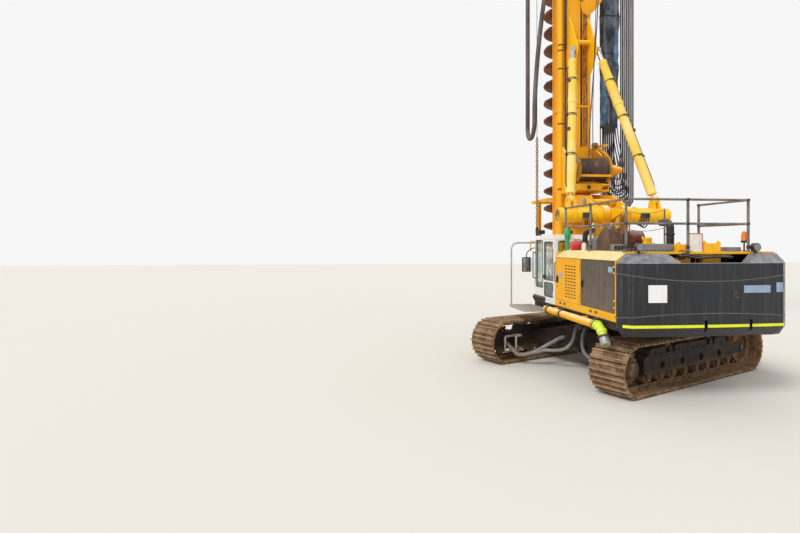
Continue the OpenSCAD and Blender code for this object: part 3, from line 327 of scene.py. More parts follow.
# Sprayed two-pack enamel on steel plate: warm yellow, a few rain runs, pale where it faces the sky: partly chalk and
# dust, partly a painted highlight
YELLOW = Surface("yellow_enamel", "#f0ac12", "yellow_paint", patch=("#f7be32", 0.5, 1300), streak=("#9a7028", 0.4),
    speck=("#6e3d18", 0.5, 14), dust_and_top_highlight=("#fbe6ae", 1.3), edge=("#d89a2c", 7), rough=(0.4, 0.6), sheen=0.2)
# The same enamel on the boom head and the pipes, fresher and greener; its pale yellow on faces that look up is dust
# and a painted highlight
HEAD_YELLOW = Surface("head_enamel", "#fcc412", "yellow_paint", patch=("#fed53c", 0.4, 900), streak=("#a98030", 0.22),
    speck=("#70401c", 0.45, 14), dust_and_top_highlight=("#fbdf84", 0.5), edge=("#dba436", 7), rough=(0.4, 0.58), sheen=0.22)
# Mast plate, redder with iron dust, with long runs of grease and soil; its pale yellow on faces that look up is dust
# and a painted highlight
MAST_YELLOW = Surface("mast_enamel", "#f4a820", "yellow_paint", patch=("#f9c255", 0.65, 2200),
    streak=("#9a5f20", 0.55), speck=("#63341a", 0.75, 20), dust_and_top_highlight=("#f3cf86", 0.4), edge=("#c08236", 7),
    rough=(0.45, 0.68), sheen=0.2)
# Bleached enamel of the back stays, nearly lemon; its pale yellow on faces that look up is dust and a painted
# highlight
FADED = Surface("faded_enamel", "#f6cf52", "yellow_paint", patch=("#f8e29a", 0.7, 800), streak=("#b28a3c", 0.4),
    speck=("#6e4a22", 0.5, 14), dust_and_top_highlight=("#fbeaba", 0.3), rough=(0.5, 0.7), sheen=0.2)
# Paint worn through to rust by the sliding ropes, scored with dark grease
WORN = Surface("rust_worn_enamel", "#b87a34", "faded_paint", patch=("#8f5c30", 0.8, 110), streak=("#4b3020", 1.3),
    speck=("#3a281c", 1.0, 40), rough=(0.5, 0.75), sheen=0.25)
# Blue-black enamel over the cast tail weight, still glossy, with dried rain marks; the pale blue-grey on faces that
# look up is dust and a painted sky reflection
CHARCOAL = Surface("charcoal_enamel", "#14161b", patch=("#20242b", 0.6, 1500), streak=("#6d717a", 0.34),
    speck=("#8a8172", 0.35, 9), dust_and_top_highlight=("#b4b5bd", 0.85), edge=("#5a5c62", 7), rough=(0.28, 0.46), coat=0.12, sheen=0.4)
# Grey-brown enamel of the rear doors under road dust
BROWN = Surface("brown_enamel", "#4f463d", "brown_paint", patch=("#60564b", 0.6, 600), streak=("#857766", 0.6),
    dust_and_top_highlight=(ROAD_DUST, 0.5), mud=("#84725c", 2.3), rough=(0.45, 0.68), sheen=0.3)
# White cab enamel
WHITE = Surface("white_enamel", "#eeeeea", "white_paint", patch=("#e0dfd8", 0.5, 900), streak=("#8b8170", 0.3),
    speck=("#8a7a66", 0.2, 14), dust_and_top_highlight=(ROAD_DUST, 0.3), rough=(0.25, 0.42), coat=0.2)
# Lime pipe enamel
LIME = Surface("lime_enamel", "#d2ee3c", patch=("#dcf06a", 0.5, 120), streak=("#7c8a2e", 0.35),
    speck=("#6b5a34", 0.5, 8), rough=(0.3, 0.5), coat=0.15)
# Chassis paint, nearly black, with dried mud on its ledges
CHASSIS = Surface("chassis_paint", "#2a221e", "dark_steel", patch=("#3d2f27", 0.7, 300), speck=("#7c6048", 0.55, 30),
    dust_and_top_highlight=("#7f664c", 0.4), mud=(WET_CLAY, 0.42), edge=("#5c4d40", 7), grain=(16, 1.6), rough=(0.6, 0.85), sheen=0.3)
# Rolled and cast steel of the crawlers: dark clay in the hollows, rubbed pale on the grousers' edges
CRAWLER = Surface("crawler_steel", "#614733", patch=("#9c7c5d", 0.9, 170), speck=("#2a2019", 0.9, 45),
    dust_and_top_highlight=("#a98c6b", 0.5), edge=("#d2b694", 16), grain=(22, 3.0), rough=(0.62, 0.9), sheen=0.3)
# Grouser tips rubbed to pale steel and dry clay
RUBBED = Surface("rubbed_grouser", "#c9ad8f", "track_steel", patch=("#9c7e62", 0.8, 140), speck=("#5a4433", 0.8, 60),
    grain=(12, 1.5), rough=(0.5, 0.75), sheen=0.3)
# Painted shade: near-black strips in the gaps between the shoes, where shade falls
PAINTED_GAP_SHADE = Surface("painted_gap_shade", "#221914", "track_steel", patch=("#3d2d21", 0.6, 120), rough=(0.7, 0.9), sheen=0.2)
# Clods of the same clay
CLAY = Surface("dried_clay", "#957453", "track_steel", patch=("#b08e6b", 0.8, 90), speck=("#5a4430", 0.6, 20),
    grain=(12, 2.0), rough=(0.8, 0.95))
# Bare steel of the auger, rusted and smeared with clay
AUGER_STEEL = Surface("auger_steel", "#75452e", patch=("#a06a45", 0.8, 260), streak=("#4a2b1d", 0.6),
    speck=("#b58d69", 0.7, 40), dust_and_top_highlight=("#a67e5a", 0.7), edge=("#b1947b", 7), grain=(9, 1.0), rough=(0.5, 0.8),
    metallic=0.2)
# Greased cast drum and sheaves
DRUM = Surface("greased_iron", "#3a2d28", patch=("#5c4330", 0.6, 160), speck=("#7d5733", 0.5, 14),
    dust_and_top_highlight=("#8a6a48", 0.4), edge=("#8a6a30", 7), rough=(0.35, 0.6), metallic=0.3)
# Ochre rim of the drum's flanges, where the paint is rubbed
FLANGE = Surface("rubbed_ochre", "#b08434", "drum_steel", patch=("#7d5f30", 0.7, 90), speck=("#4a3520", 0.6, 14),
    rough=(0.4, 0.65), metallic=0.1)
# Wire rope, drawn steel wires under dark grease
ROPE = Surface("wire_rope", "#4a4640", "rod_chrome", patch=("#6b655a", 0.5, 60), grain=(6, 1.2), rough=(0.35, 0.55),
    metallic=0.5, weave_mm=30)
# The same rope on the drum, browner under its grease
WOUND = Surface("greased_rope", "#513e36", "rod_chrome", patch=("#7b665c", 0.6, 240), speck=("#2a211d", 0.5, 30),
    grain=(6, 1.2), rough=(0.35, 0.6), metallic=0.2)
# Chain links gone to orange rust
RUSTY = Surface("rusted_chain", "#9a7038", "dark_steel", patch=("#c0984e", 0.7, 120), speck=("#3f2c1c", 1.0, 50),
    grain=(8, 1.0), rough=(0.6, 0.85))
# Galvanised clamp steel
ZINC = Surface("zinc_clamp", "#a9abad", "grey_paint", patch=("#8b8c8c", 0.6, 60), speck=("#7a6650", 0.5, 14),
    rough=(0.32, 0.55), metallic=0.6)
# Dark clamp and bolt steel, blacked and dusty
DARK_STEEL = Surface("blacked_steel", "#2f2a26", "dark_steel", patch=("#4c443b", 0.6, 80), dust_and_top_highlight=(ROAD_DUST, 0.4),
    edge=("#77695a", 7), rough=(0.45, 0.7), metallic=0.2)
# Hard chrome on cylinder rods
CHROME = Surface("hard_chrome", "#c9cbce", "rod_chrome", patch=("#b3b5b8", 0.4, 200), grain=(5, 0.02),
    rough=(0.1, 0.22), metallic=1.0)
# Painted tube of the rails, worn to grey where hands hold it
RAIL = Surface("rail_paint", "#5d5854", "rail_steel", patch=("#857c74", 0.8, 240), speck=("#7a5230", 0.6, 14),
    dust_and_top_highlight=(ROAD_DUST, 0.4), edge=("#a09488", 7), rough=(0.4, 0.62))
# Pale galvanised guard tube with splashed mud
GUARD = Surface("guard_tube", "#bdb7ad", "rail_steel", patch=("#9a9187", 0.7, 160), speck=("#6a5540", 0.7, 14),
    mud=(WET_CLAY, 0.55), rough=(0.45, 0.7), metallic=0.25)
# Moulded black rubber of hoses, dull with clay dust
RUBBER = Surface("hose_rubber", "#1d1d20", "rubber", patch=("#3a3738", 0.7, 180), streak=("#6a5f58", 0.45),
    dust_and_top_highlight=(ROAD_DUST, 0.35), grain=(4, 0.3), rough=(0.5, 0.72))
# The same rubber, older and chalked to mauve grey
CHALKED = Surface("chalked_rubber", "#4b464b", "rubber", patch=("#777077", 0.8, 420), streak=("#a29b97", 0.5),
    dust_and_top_highlight=(ROAD_DUST, 0.35), grain=(4, 0.3), rough=(0.6, 0.8))
# Concrete hose, rubber over cloth plies, brown-grey with cement dust
HOSE = Surface("concrete_hose_rubber", "#454040", "rubber", patch=("#675f5c", 0.75, 400), streak=("#9a928a", 0.5),
    dust_and_top_highlight=(ROAD_DUST, 0.4), grain=(10, 0.5), rough=(0.55, 0.78), weave_mm=20)
# Woven nylon hose sleeve, blue-black, bleached to slate on its folds
NYLON = Surface("nylon_sleeve", "#2c303a", "wrap_cloth", patch=("#5e6675", 0.85, 260), streak=("#98a1b0", 1.0),
    dust_and_top_highlight=(ROAD_DUST, 0.3), grain=(14, 1.6), rough=(0.75, 0.92), weave_mm=12)
# Bright blue woven wrap
BLUE_WRAP = Surface("blue_wrap", "#3a6288", "wrap_cloth", patch=("#7694b4", 0.8, 160), streak=("#a9bfd2", 0.6),
    grain=(14, 1.6), rough=(0.75, 0.9), weave_mm=12)
# Grey corrugated polyamide sleeve of the travel hoses
CORRUGATED = Surface("corrugated_sleeve", "#8d8d90", "sleeve", patch=("#6a6867", 0.7, 120), dust_and_top_highlight=("#aaa49a", 0.5),
    mud=(WET_CLAY, 0.36), rough=(0.5, 0.7))
# Black ABS of lamps, latches and mirrors
PLASTIC = Surface("moulded_plastic", "#17181a", "lamp_black", patch=("#26272a", 0.5, 60), dust_and_top_highlight=(ROAD_DUST, 0.35),
    grain=(1.6, 0.08), rough=(0.35, 0.55))
# Window rubber, greyed by weather
SEAL = Surface("window_rubber", "#363c40", "lamp_black", patch=("#50565a", 0.5, 900), dust_and_top_highlight=(ROAD_DUST, 0.3),
    rough=(0.5, 0.7))
# Reflective tape, lime yellow with a fine bead grain
TAPE = Surface("reflective_tape", "#e8f012", "lime_paint", patch=("#cdd43a", 0.4, 120), streak=("#8c8846", 0.3),
    grain=(2.5, 0.1), rough=(0.3, 0.45))
# Small enamel parts on the deck
RED = Surface("red_enamel", "#c4202e", "grey_paint", patch=("#d94b50", 0.5, 120), dust_and_top_highlight=(ROAD_DUST, 0.4), coat=0.2)
MAROON = Surface("maroon_enamel", "#5e2b29", "brown_paint", patch=("#7a4a40", 0.7, 110), streak=("#3a2320", 0.5),
    dust_and_top_highlight=(ROAD_DUST, 0.6), rough=(0.4, 0.65))
GREEN = Surface("green_enamel", "#1f9450", "grey_paint", patch=("#3aa868", 0.5, 90), dust_and_top_highlight=(ROAD_DUST, 0.4), coat=0.2)
CREAM = Surface("cream_plastic", "#e6e3da", "white_paint", patch=("#cfc9ba", 0.6, 90), dust_and_top_highlight=(ROAD_DUST, 0.4))
GREY = Surface("grey_enamel", "#7d7d7e", "grey_paint", patch=("#63625e", 0.6, 150), streak=("#5a4d3e", 0.5),
    dust_and_top_highlight=(ROAD_DUST, 0.45))
UMBER = Surface("umber_cover", "#5d463a", "brown_paint", patch=("#7b6152", 0.7, 150), streak=("#33261f", 0.7),
    dust_and_top_highlight=(ROAD_DUST, 0.5), grain=(30, 4.0), rough=(0.55, 0.8))
# Printed vinyl labels, left blank
LABEL = Surface("white_vinyl", "#f1f2f4", "white_paint", patch=("#e2e4e6", 0.4, 200), streak=("#a9abae", 0.3),
    rough=(0.25, 0.4))
BLUE_LABEL = Surface("blue_vinyl", "#93a9c4", "white_paint", patch=("#7c94b4", 0.5, 120), streak=("#e6ebf0", 0.3),
    rough=(0.25, 0.4))
# Clear lamp lens over a dull reflector
LENS = Surface("lamp_lens", "#73767a", "grey_paint", patch=("#8f9296", 0.5, 30), rough=(0.08, 0.2), coat=0.6)
# Amber acrylic of the beacon's dome
AMBER = Surface("amber_acrylic", "#ef7a12", "lime_paint", patch=("#f79a3a", 0.5, 50), rough=(0.12, 0.25), coat=0.6)
# Seat vinyl with a leather grain
VINYL = Surface("seat_vinyl", "#1c1c1f", "seat_vinyl", patch=("#2b2a2b", 0.5, 120), grain=(2.2, 0.25),
    rough=(0.42, 0.6))
GLASS = Pane()


def show(made: Object) -> None:
    """Puts an object into the scene."""
    bpy.context.scene.collection.objects.link(made)


def own(name: str, data: Mesh, finish: Surface, body: Body | None, over: tuple[str, ...] = ()) -> Object:
    """Makes a finished piece that rides on a body.

    Args:
        name: The piece's name.
        data: Its mesh, in place.
        finish: Its finish.
        body: The CAD body that it rides on, or None for one that rides on none.
        over: CAD nodes that it stands for.

    Returns:
        The new object.
    """
    data.materials.clear()
    data.materials.append(finish.material())
    made = bpy.data.objects.new(name, data)
    show(made)
    if over:
        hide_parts(*over)
    if body is not None:
        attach(made, body.value)
    LOG.info("%s: %d faces", name, len(data.polygons))
    return made


def smooth(points: Path, steps: int = 4) -> Path:
    """Runs a soft curve through points.

    Args:
        points: The points to pass.
        steps: Curve points from one to the next.

    Returns:
        The curve's points.
    """
    spots = [Vector(p) for p in points]
    spots = [2 * spots[0] - spots[1], *spots, 2 * spots[-1] - spots[-2]]
    curve = []
    for a, b, c, d in zip(spots, spots[1:], spots[2:], spots[3:]):
        for i in range(steps):
            t = i / steps
            curve.append(tuple(0.5 * (2 * b + (c - a) * t + (2 * a - 5 * b + 4 * c - d) * t * t
                                      + (3 * b - a - 3 * c + d) * t ** 3)))
    return [*curve, tuple(spots[-2])]


def rounded(points: Path, radius: float, steps: int = 5) -> Path:
    """Rounds the inner corners of a run of straight lines.

    Args:
        points: The corners.
        radius: Distance from a corner at which its bend starts.
        steps: Points in a bend.

    Returns:
        The rounded run's points.
    """
    spots = [Vector(p) for p in points]
    run = [spots[0]]
    for before, corner, after in zip(spots, spots[1:], spots[2:]):
        start = corner + (before - corner).normalized() * min(radius, (before - corner).length / 2)
        end = corner + (after - corner).normalized() * min(radius, (after - corner).length / 2)
        for i in range(steps + 1):
            t = i / steps
            run.append(start.lerp(corner, t).lerp(corner.lerp(end, t), t))
    return [tuple(p) for p in [*run, spots[-1]]]


def window(low: Triple, high: Triple, radius: float) -> Path:
    """A rounded upright rectangle between two corners, closed."""
    return rounded([low, (high[0], high[1], low[2]), high, (low[0], low[1], high[2]), low], radius)


def angles(count: int) -> list[float]:
    """Evenly spaced angles of a full turn."""
    return [2 * pi * k / count for k in range(count)]


def spaced(start: float, end: float, count: int) -> list[float]:
    """Evenly spaced numbers from start to end."""
    return [start + (end - start) * i / max(count - 1, 1) for i in range(count)]


# Edges that turn by more than these stay sharp in the shading, and are bevelled
SHARP_DEG, BEVEL_RAD = 38, 0.5


class Form:
    """Collects the closed shells of one piece, in metres."""

    def __init__(self) -> None:
        """Starts with no shell."""
        self.mesh = bmesh.new()

    def _close(self, faces: list[bmesh.types.BMFace], soft: float) -> "Form":
        """Turns a shell's faces outwards and softens its edges.

        Args:
            faces: The shell.
            soft: Width of the bevel on its sharp edges, or 0.

        Returns:
            This form.
        """
        bmesh.ops.recalc_face_normals(self.mesh, faces=faces)
        if soft:
            edges = dict.fromkeys(e for f in faces for e in f.edges if e.calc_face_angle(0.0) > BEVEL_RAD)
            bmesh.ops.bevel(self.mesh, geom=list(edges), offset=soft, segments=2, profile=0.6, affect="EDGES",
                clamp_overlap=True)
        return self

    def rings(self, rings: list[Path], loop: bool = False, soft: float = 0.0) -> "Form":
        """Joins rings of points into a shell.

        Args:
            rings: The rings in order, each with as many points.
            loop: Whether the last joins the first, in place of caps at both ends.
            soft: Width of the bevel on its sharp edges.

        Returns:
            This form.
        """
        rows = [[self.mesh.verts.new(p) for p in ring] for ring in rings]
        count = len(rows[0])
        pairs = list(zip(rows, rows[1:])) + ([(rows[-1], rows[0])] if loop else [])
        faces = [self.mesh.faces.new((a[i], a[(i + 1) % count], b[(i + 1) % count], b[i])) for a, b in pairs
            for i in range(count)]
        if not loop:
            faces += [self.mesh.faces.new(rows[0]), self.mesh.faces.new(rows[-1])]
        return self._close(faces, soft)

    def slab(self, outline: list[Pair], low: float, high: float, axis: str = "x", soft: float = 0.004) -> "Form":
        """A plate whose outline lies in the two other axes."""
        place = {"x": lambda a, b, h: (h, a, b), "y": lambda a, b, h: (a, h, b), "z": lambda a, b, h: (a, b, h)}
        return self.rings([[place[axis](a, b, h) for a, b in outline] for h in (low, high)], soft=soft)

    def box(self, one: Triple, other: Triple, soft: float = 0.004) -> "Form":
        """A box between any two opposite corners."""
        (x0, x1), (y0, y1), (z0, z1) = (sorted(pair) for pair in zip(one, other))
        return self.slab([(x0, y0), (x1, y0), (x1, y1), (x0, y1)], z0, z1, "z", soft)

    def tube(self, path: Path, radius: float | list[float], sides: int = 12, loop: bool = False) -> "Form":
        """A round tube along a path; its rings don't twist.

        Args:
            path: Points along its middle.
            radius: One radius, or one for each point.
            sides: Faces round it.
            loop: Whether its end joins its start.

        Returns:
            This form.
        """
        spots = [Vector(p) for p in path]
        last = len(spots) - 1
        rings, side = [], None
        for i, spot in enumerate(spots):
            before = spots[i - 1] if i or loop else spot
            after = spots[(i + 1) % (last + 1)] if i < last or loop else spot
            along = (after - before).normalized()
            side = along.orthogonal().normalized() if side is None else side
            side = (side - along * side.dot(along)).normalized()
            across = along.cross(side)
            size = radius[i] if isinstance(radius, list) else radius
            rings.append([tuple(spot + size * (cos(a) * side + sin(a) * across)) for a in angles(sides)])
        return self.rings(rings, loop)

    def lathe(self, profile: list[Pair], at: Triple, along: Triple = (0, 0, 1), sides: int = 32) -> "Form":
        """Turns a profile about an axis.

        Args:
            profile: Distances along the axis, each with its radius.
            at: The point from which they run.
            along: The axis's direction.
            sides: Faces round it.

        Returns:
            This form.
        """
        axis = Vector(along).normalized()
        side = axis.orthogonal().normalized()
        across = axis.cross(side)
        return self.rings([[tuple(Vector(at) + axis * far + r * (cos(a) * side + sin(a) * across))
            for a in angles(sides)] for far, r in profile])

    def disc(self, at: Triple, along: Triple, radius: float, depth: float, rim: float = 0.004,
             sides: int = 32) -> "Form":
        """A round plate or bar with softened rims."""
        return self.lathe([(0, radius - rim), (rim, radius), (depth - rim, radius), (depth, radius - rim)], at,
            along, sides)

    def mesh_data(self, name: str) -> Mesh:
        """Ends the form.

        Args:
            name: The mesh's name.

        Returns:
            The mesh, smooth but for its sharp edges.
        """
        bmesh.ops.recalc_face_normals(self.mesh, faces=self.mesh.faces)
        data = bpy.data.meshes.new(name)
        self.mesh.to_mesh(data)
        self.mesh.free()
        data.shade_smooth()
        data.set_sharp_from_angle(angle=radians(SHARP_DEG))
        return data

    def piece(self, name: str, finish: Surface, body: Body | None, over: tuple[str, ...] = (),
              slot: str = "") -> Object:
        """Ends the form and makes its piece."""
        return own(name, self.mesh_data(name), finish, body, over)


def group(name: str, sockets: dict[str, object]) -> tuple[NodeTree, bpy_prop_collection]:
    """Starts a geometry node tree.

    Args:
        name: The tree's name.
        sockets: The defaults of its named inputs; None stands for a material.

    Returns:
        The tree, and the sockets that its inputs come from.
    """
    kinds = {float: "NodeSocketFloat", int: "NodeSocketInt", tuple: "NodeSocketVector"}
    tree = bpy.data.node_groups.new(name, "GeometryNodeTree")
    tree.interface.new_socket("Geometry", in_out="INPUT", socket_type="NodeSocketGeometry")
    tree.interface.new_socket("Geometry", in_out="OUTPUT", socket_type="NodeSocketGeometry")
    for label, value in sockets.items():
        kind = kinds.get(type(value), "NodeSocketMaterial")
        made = tree.interface.new_socket(label, in_out="INPUT", socket_type=kind)
        if value is not None:
            made.default_value = value
    return tree, put(tree, "NodeGroupInput").outputs


def finished(tree: NodeTree, shape: NodeSocket, finish: NodeSocket) -> None:
    """Ends a geometry node tree with realised instances in their finish.

    Args:
        tree: The tree.
        shape: What it has made.
        finish: Its input for the material.
    """
    real = put(tree, "GeometryNodeRealizeInstances", {}, {0: shape})
    coated = put(tree, "GeometryNodeSetMaterial", {}, {"Geometry": real.outputs[0], "Material": finish})
    put(tree, "NodeGroupOutput", {}, {0: coated.outputs[0]})


def grown(name: str, tree: NodeTree, base: Mesh, values: dict) -> Mesh:
    """Runs a geometry node tree on a mesh.

    Args:
        name: The result's name.
        tree: The tree.
        base: The mesh that it starts from.
        values: Its inputs by name.

    Returns:
        The result as a plain mesh.
    """
    carrier = bpy.data.objects.new(name + "_base", base)
    show(carrier)
    modifier = carrier.modifiers.new("grow", "NODES")
    modifier.node_group = tree
    for item in tree.interface.items_tree:
        if item.item_type == "SOCKET" and item.in_out == "INPUT" and item.name in values:
            modifier[item.identifier] = values[item.name]
    graph = bpy.context.evaluated_depsgraph_get()
    data = bpy.data.meshes.new_from_object(carrier.evaluated_get(graph), depsgraph=graph)
    bpy.data.objects.remove(carrier)
    data.name = name
    return data


# A washer's radius and height as shares of its bolt's
WASHER_WIDE, WASHER_THIN = 1.5, 0.4


def repeat_tree(unit: Unit) -> NodeTree:
    """The tree that sets one small shape on each point, its height along the point's facing.

    Args:
        unit: The shape.

    Returns:
        The tree, made once for each unit.
    """
    name = "repeat_" + unit.value
    done = bpy.data.node_groups.get(name)
    if done:
        return done
    tree, given = group(name, {"Size": (0.01, 0.01, 0.01), "Finish": None})
    facing = put(tree, "GeometryNodeInputNamedAttribute", {"data_type": "FLOAT_VECTOR", "Name": "facing"})
    turned = put(tree, "FunctionNodeAlignRotationToVector", {"axis": "Z"}, {"Vector": facing.outputs[0]})
    size = put(tree, "ShaderNodeSeparateXYZ", {}, {0: given["Size"]})
    if unit is Unit.BLOCK:
        shape = put(tree, "GeometryNodeMeshCube", {}, {"Size": given["Size"]}).outputs[0]
    elif unit is Unit.BAND:
        shape = put(tree, "GeometryNodeMeshCylinder", {"Vertices": 28}, {"Radius": size.outputs[0],
            "Depth": size.outputs[2]}).outputs[0]
    else:
        head = put(tree, "GeometryNodeMeshCylinder", {"Vertices": 6}, {"Radius": size.outputs[0],
            "Depth": size.outputs[2]})
        wide = put(tree, "ShaderNodeMath", {"operation": "MULTIPLY", 1: WASHER_WIDE}, {0: size.outputs[0]})
        thin = put(tree, "ShaderNodeMath", {"operation": "MULTIPLY", 1: WASHER_THIN}, {0: size.outputs[2]})
        washer = put(tree, "GeometryNodeMeshCylinder", {"Vertices": 14}, {"Radius": wide.outputs[0],
            "Depth": thin.outputs[0]})
        both = put(tree, "GeometryNodeJoinGeometry")
        for part in (head, washer):
            tree.links.new(part.outputs[0], both.inputs[0])
        shape = both.outputs[0]
    spread = put(tree, "GeometryNodeInstanceOnPoints", {}, {"Points": given[0], "Instance": shape,
        "Rotation": turned.outputs[0]})
    finished(tree, spread.outputs[0], given["Finish"])
    return tree


def repeated(name: str, unit: Unit, spots: list[tuple[Triple, Triple]], size: Triple, finish: Surface,
             body: Body) -> Object:
    """Sets one small shape on many points.

    Args:
        name: The piece's name.
        unit: The shape.
        spots: Points, each with the way that it faces.
        size: The shape's size, its height last; a round one's radius comes first.
        finish: The finish.
        body: The body that it rides on.

    Returns:
        The piece.
    """
    base = bpy.data.meshes.new(name + "_points")
    base.from_pydata([p for p, _ in spots], [], [])
    ways = base.attributes.new("facing", "FLOAT_VECTOR", "POINT")
    ways.data.foreach_set("vector", [c for _, way in spots for c in way])
    data = grown(name, repeat_tree(unit), base, {"Size": size, "Finish": finish.material()})
    return own(name, data, finish, body)


def winding_tree() -> NodeTree:
    """Builds the tree that winds a rope in a spiral about X.

    Returns:
        The tree.
    """
    tree, given = group("winding", {"Turns": 10.0, "Coil radius": 0.2, "Width": 1.0, "Rope radius": 0.01,
        "Middle": (0.0, 0.0, 0.0), "Finish": None})
    spiral = put(tree, "GeometryNodeCurveSpiral", {"Resolution": 40}, {"Rotations": given["Turns"],
        "Start Radius": given["Coil radius"], "End Radius": given["Coil radius"], "Height": given["Width"]})
    strand = put(tree, "GeometryNodeCurvePrimitiveCircle", {"Resolution": 8}, {"Radius": given["Rope radius"]})
    skin = put(tree, "GeometryNodeCurveToMesh", {"Fill Caps": True}, {"Curve": spiral.outputs[0],
        "Profile Curve": strand.outputs[0]})
    turned = put(tree, "GeometryNodeTransform", {"Rotation": (0.0, pi / 2, 0.0)}, {"Geometry": skin.outputs[0],
        "Translation": given["Middle"]})
    finished(tree, turned.outputs[0], given["Finish"])
    return tree


def clod_tree() -> NodeTree:
    """Builds the tree that scatters rough clods over a surface.

    Returns:
        The tree.
    """
    tree, given = group("clods", {"Density": 10.0, "Radius": 0.02, "Seed": 1, "Finish": None})
    spread = put(tree, "GeometryNodeDistributePointsOnFaces", {}, {"Mesh": given[0], "Density": given["Density"],
        "Seed": given["Seed"]})
    lump = put(tree, "GeometryNodeMeshIcoSphere", {"Subdivisions": 2}, {"Radius": given["Radius"]})
    rough = put(tree, "ShaderNodeTexNoise", {"Scale": 30.0, "Detail": 2.0})
    push = put(tree, "ShaderNodeVectorMath", {"operation": "MULTIPLY_ADD", 1: (0.03, 0.03, 0.03),
        2: (-0.015, -0.015, -0.015)}, {0: rough.outputs["Color"]})
    lumpy = put(tree, "GeometryNodeSetPosition", {}, {"Geometry": lump.outputs[0], "Offset": push.outputs[0]})
    scale = put(tree, "FunctionNodeRandomValue", {"data_type": "FLOAT_VECTOR", 0: (0.35, 0.35, 0.2),
        1: (1.5, 1.5, 0.75)}, {"Seed": given["Seed"]})
    placed = put(tree, "GeometryNodeInstanceOnPoints", {}, {"Points": spread.outputs["Points"],
        "Instance": lumpy.outputs[0], "Rotation": spread.outputs["Rotation"], "Scale": scale.outputs[0]})
    finished(tree, placed.outputs[0], given["Finish"])
    return tree


def scattered(name: str, node: str, density: float, radius: float, seed: int, body: Body,
              keep: object = None) -> Object:
    """Scatters clods of clay over a CAD node.

    Args:
        name: The piece's name.
        node: The node that carries them.
        density: Clods to the square metre.
        radius: A clod's mean radius.
        seed: The scatter's seed.
        body: The node's body.
        keep: Says of a face's middle and normal whether it carries clods.

    Returns:
        The piece.
    """
    shell = bmesh.new()
    shell.from_mesh(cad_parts[node].data)
    if keep:
        lost = [f for f in shell.faces if not keep(f.calc_center_median(), f.normal)]
        bmesh.ops.delete(shell, geom=lost, context="FACES")
    base = bpy.data.meshes.new(name + "_shell")
    shell.to_mesh(base)
    shell.free()
    data = grown(name, bpy.data.node_groups.get("clods") or clod_tree(), base, {"Density": density, "Radius": radius,
        "Seed": seed, "Finish": CLAY.material()})
    return own(name, data, CLAY, body)


def coat(finish: Finish, *nodes: str) -> None:
    """Puts a finish on CAD nodes that keep their shape.

    Args:
        finish: The finish.
        nodes: The nodes' names.
    """
    for node in nodes:
        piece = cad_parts[node]
        for spot in piece.material_slots:
            spot.link = "OBJECT"
            spot.material = finish.material()


@dataclass
class HangingHoses:
    """The concrete hose and the hydraulic hoses that hang between the mast and the rotary head."""

    hose_r: float = 0.06
    line_r: float = 0.019
    arm_z: float = 11.46
    head_x: float = -0.95
    route: tuple[Triple, ...] = ((-0.95, 3.1, 16.3), (-0.95, 3.1, 15.0), (-0.95, 3.1, 13.5), (-0.95, 3.1, 12.0),
        (-0.95, 3.1, 10.5), (-0.95, 3.1, 9.0), (-0.95, 3.1, 7.8), (-0.95, 3.1, 6.8), (-0.95, 3.105, 6.26),
        (-0.96, 3.07, 6.085), (-0.98, 2.97, 5.94), (-1.0, 2.825, 5.84), (-1.02, 2.65, 5.805), (-1.04, 2.475, 5.84),
        (-1.06, 2.33, 5.94), (-1.075, 2.23, 6.085), (-1.085, 2.195, 6.26), (-1.08, 2.19, 6.7), (-1.04, 2.195, 7.4),
        (-0.97, 2.2, 8.2), (-0.88, 2.2, 9.0), (-0.8, 2.2, 9.6), (-0.76, 2.2, 10.0), (-0.75, 2.2, 10.2),
        (-0.75, 2.2, 10.33))

    def _line(self, row: int, i: int) -> Path:
        """The route of one hydraulic hose.

        Args:
            row: 0 for the near row, 1 for the far one.
            i: Its place in the row, from the outside.

        Returns:
            Points from the mast's arm down and round to the head.
        """
        left, right = 1.0 + 0.062 * i + 0.02 * row, 1.88 - 0.062 * i - 0.02 * row
        y, low = 2.39 + 0.06 * row, 4.17 + 0.06 * i * (row + 1)
        middle, r = (left + right) / 2, (right - left) / 2
        bend = [(middle - r * cos(pi * k / 8), y, low - r * sin(pi * k / 8)) for k in range(9)]
        return [*[(left, y, z) for z in (self.arm_z, 10.0, 8.5, 7.0, 5.7)], *bend, *[(right, y, z)
            for z in (5.7, 7.0, 8.5, 10.0, 11.5, 13.0, 14.5, 15.9)]]

    def build(self) -> None:
        """Makes the hoses as tubes between the mast and the head."""
        path = smooth(list(self.route), 3)
        hose = Form().tube(path, self.hose_r, 20).piece("concrete_hose_skin", HOSE, None, ("concrete_hose",))
        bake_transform(hose)
        for row in range(2):
            for i in range(6):
                path = smooth(self._line(row, i), 2)
                line = Form().tube(path, self.line_r).piece(f"hydraulic_hose_{row + 1}_{i + 1}", CHALKED
                    if (i + row) % 3 == 1 else RUBBER, None, ("hydraulic_hoses",))
                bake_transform(line)


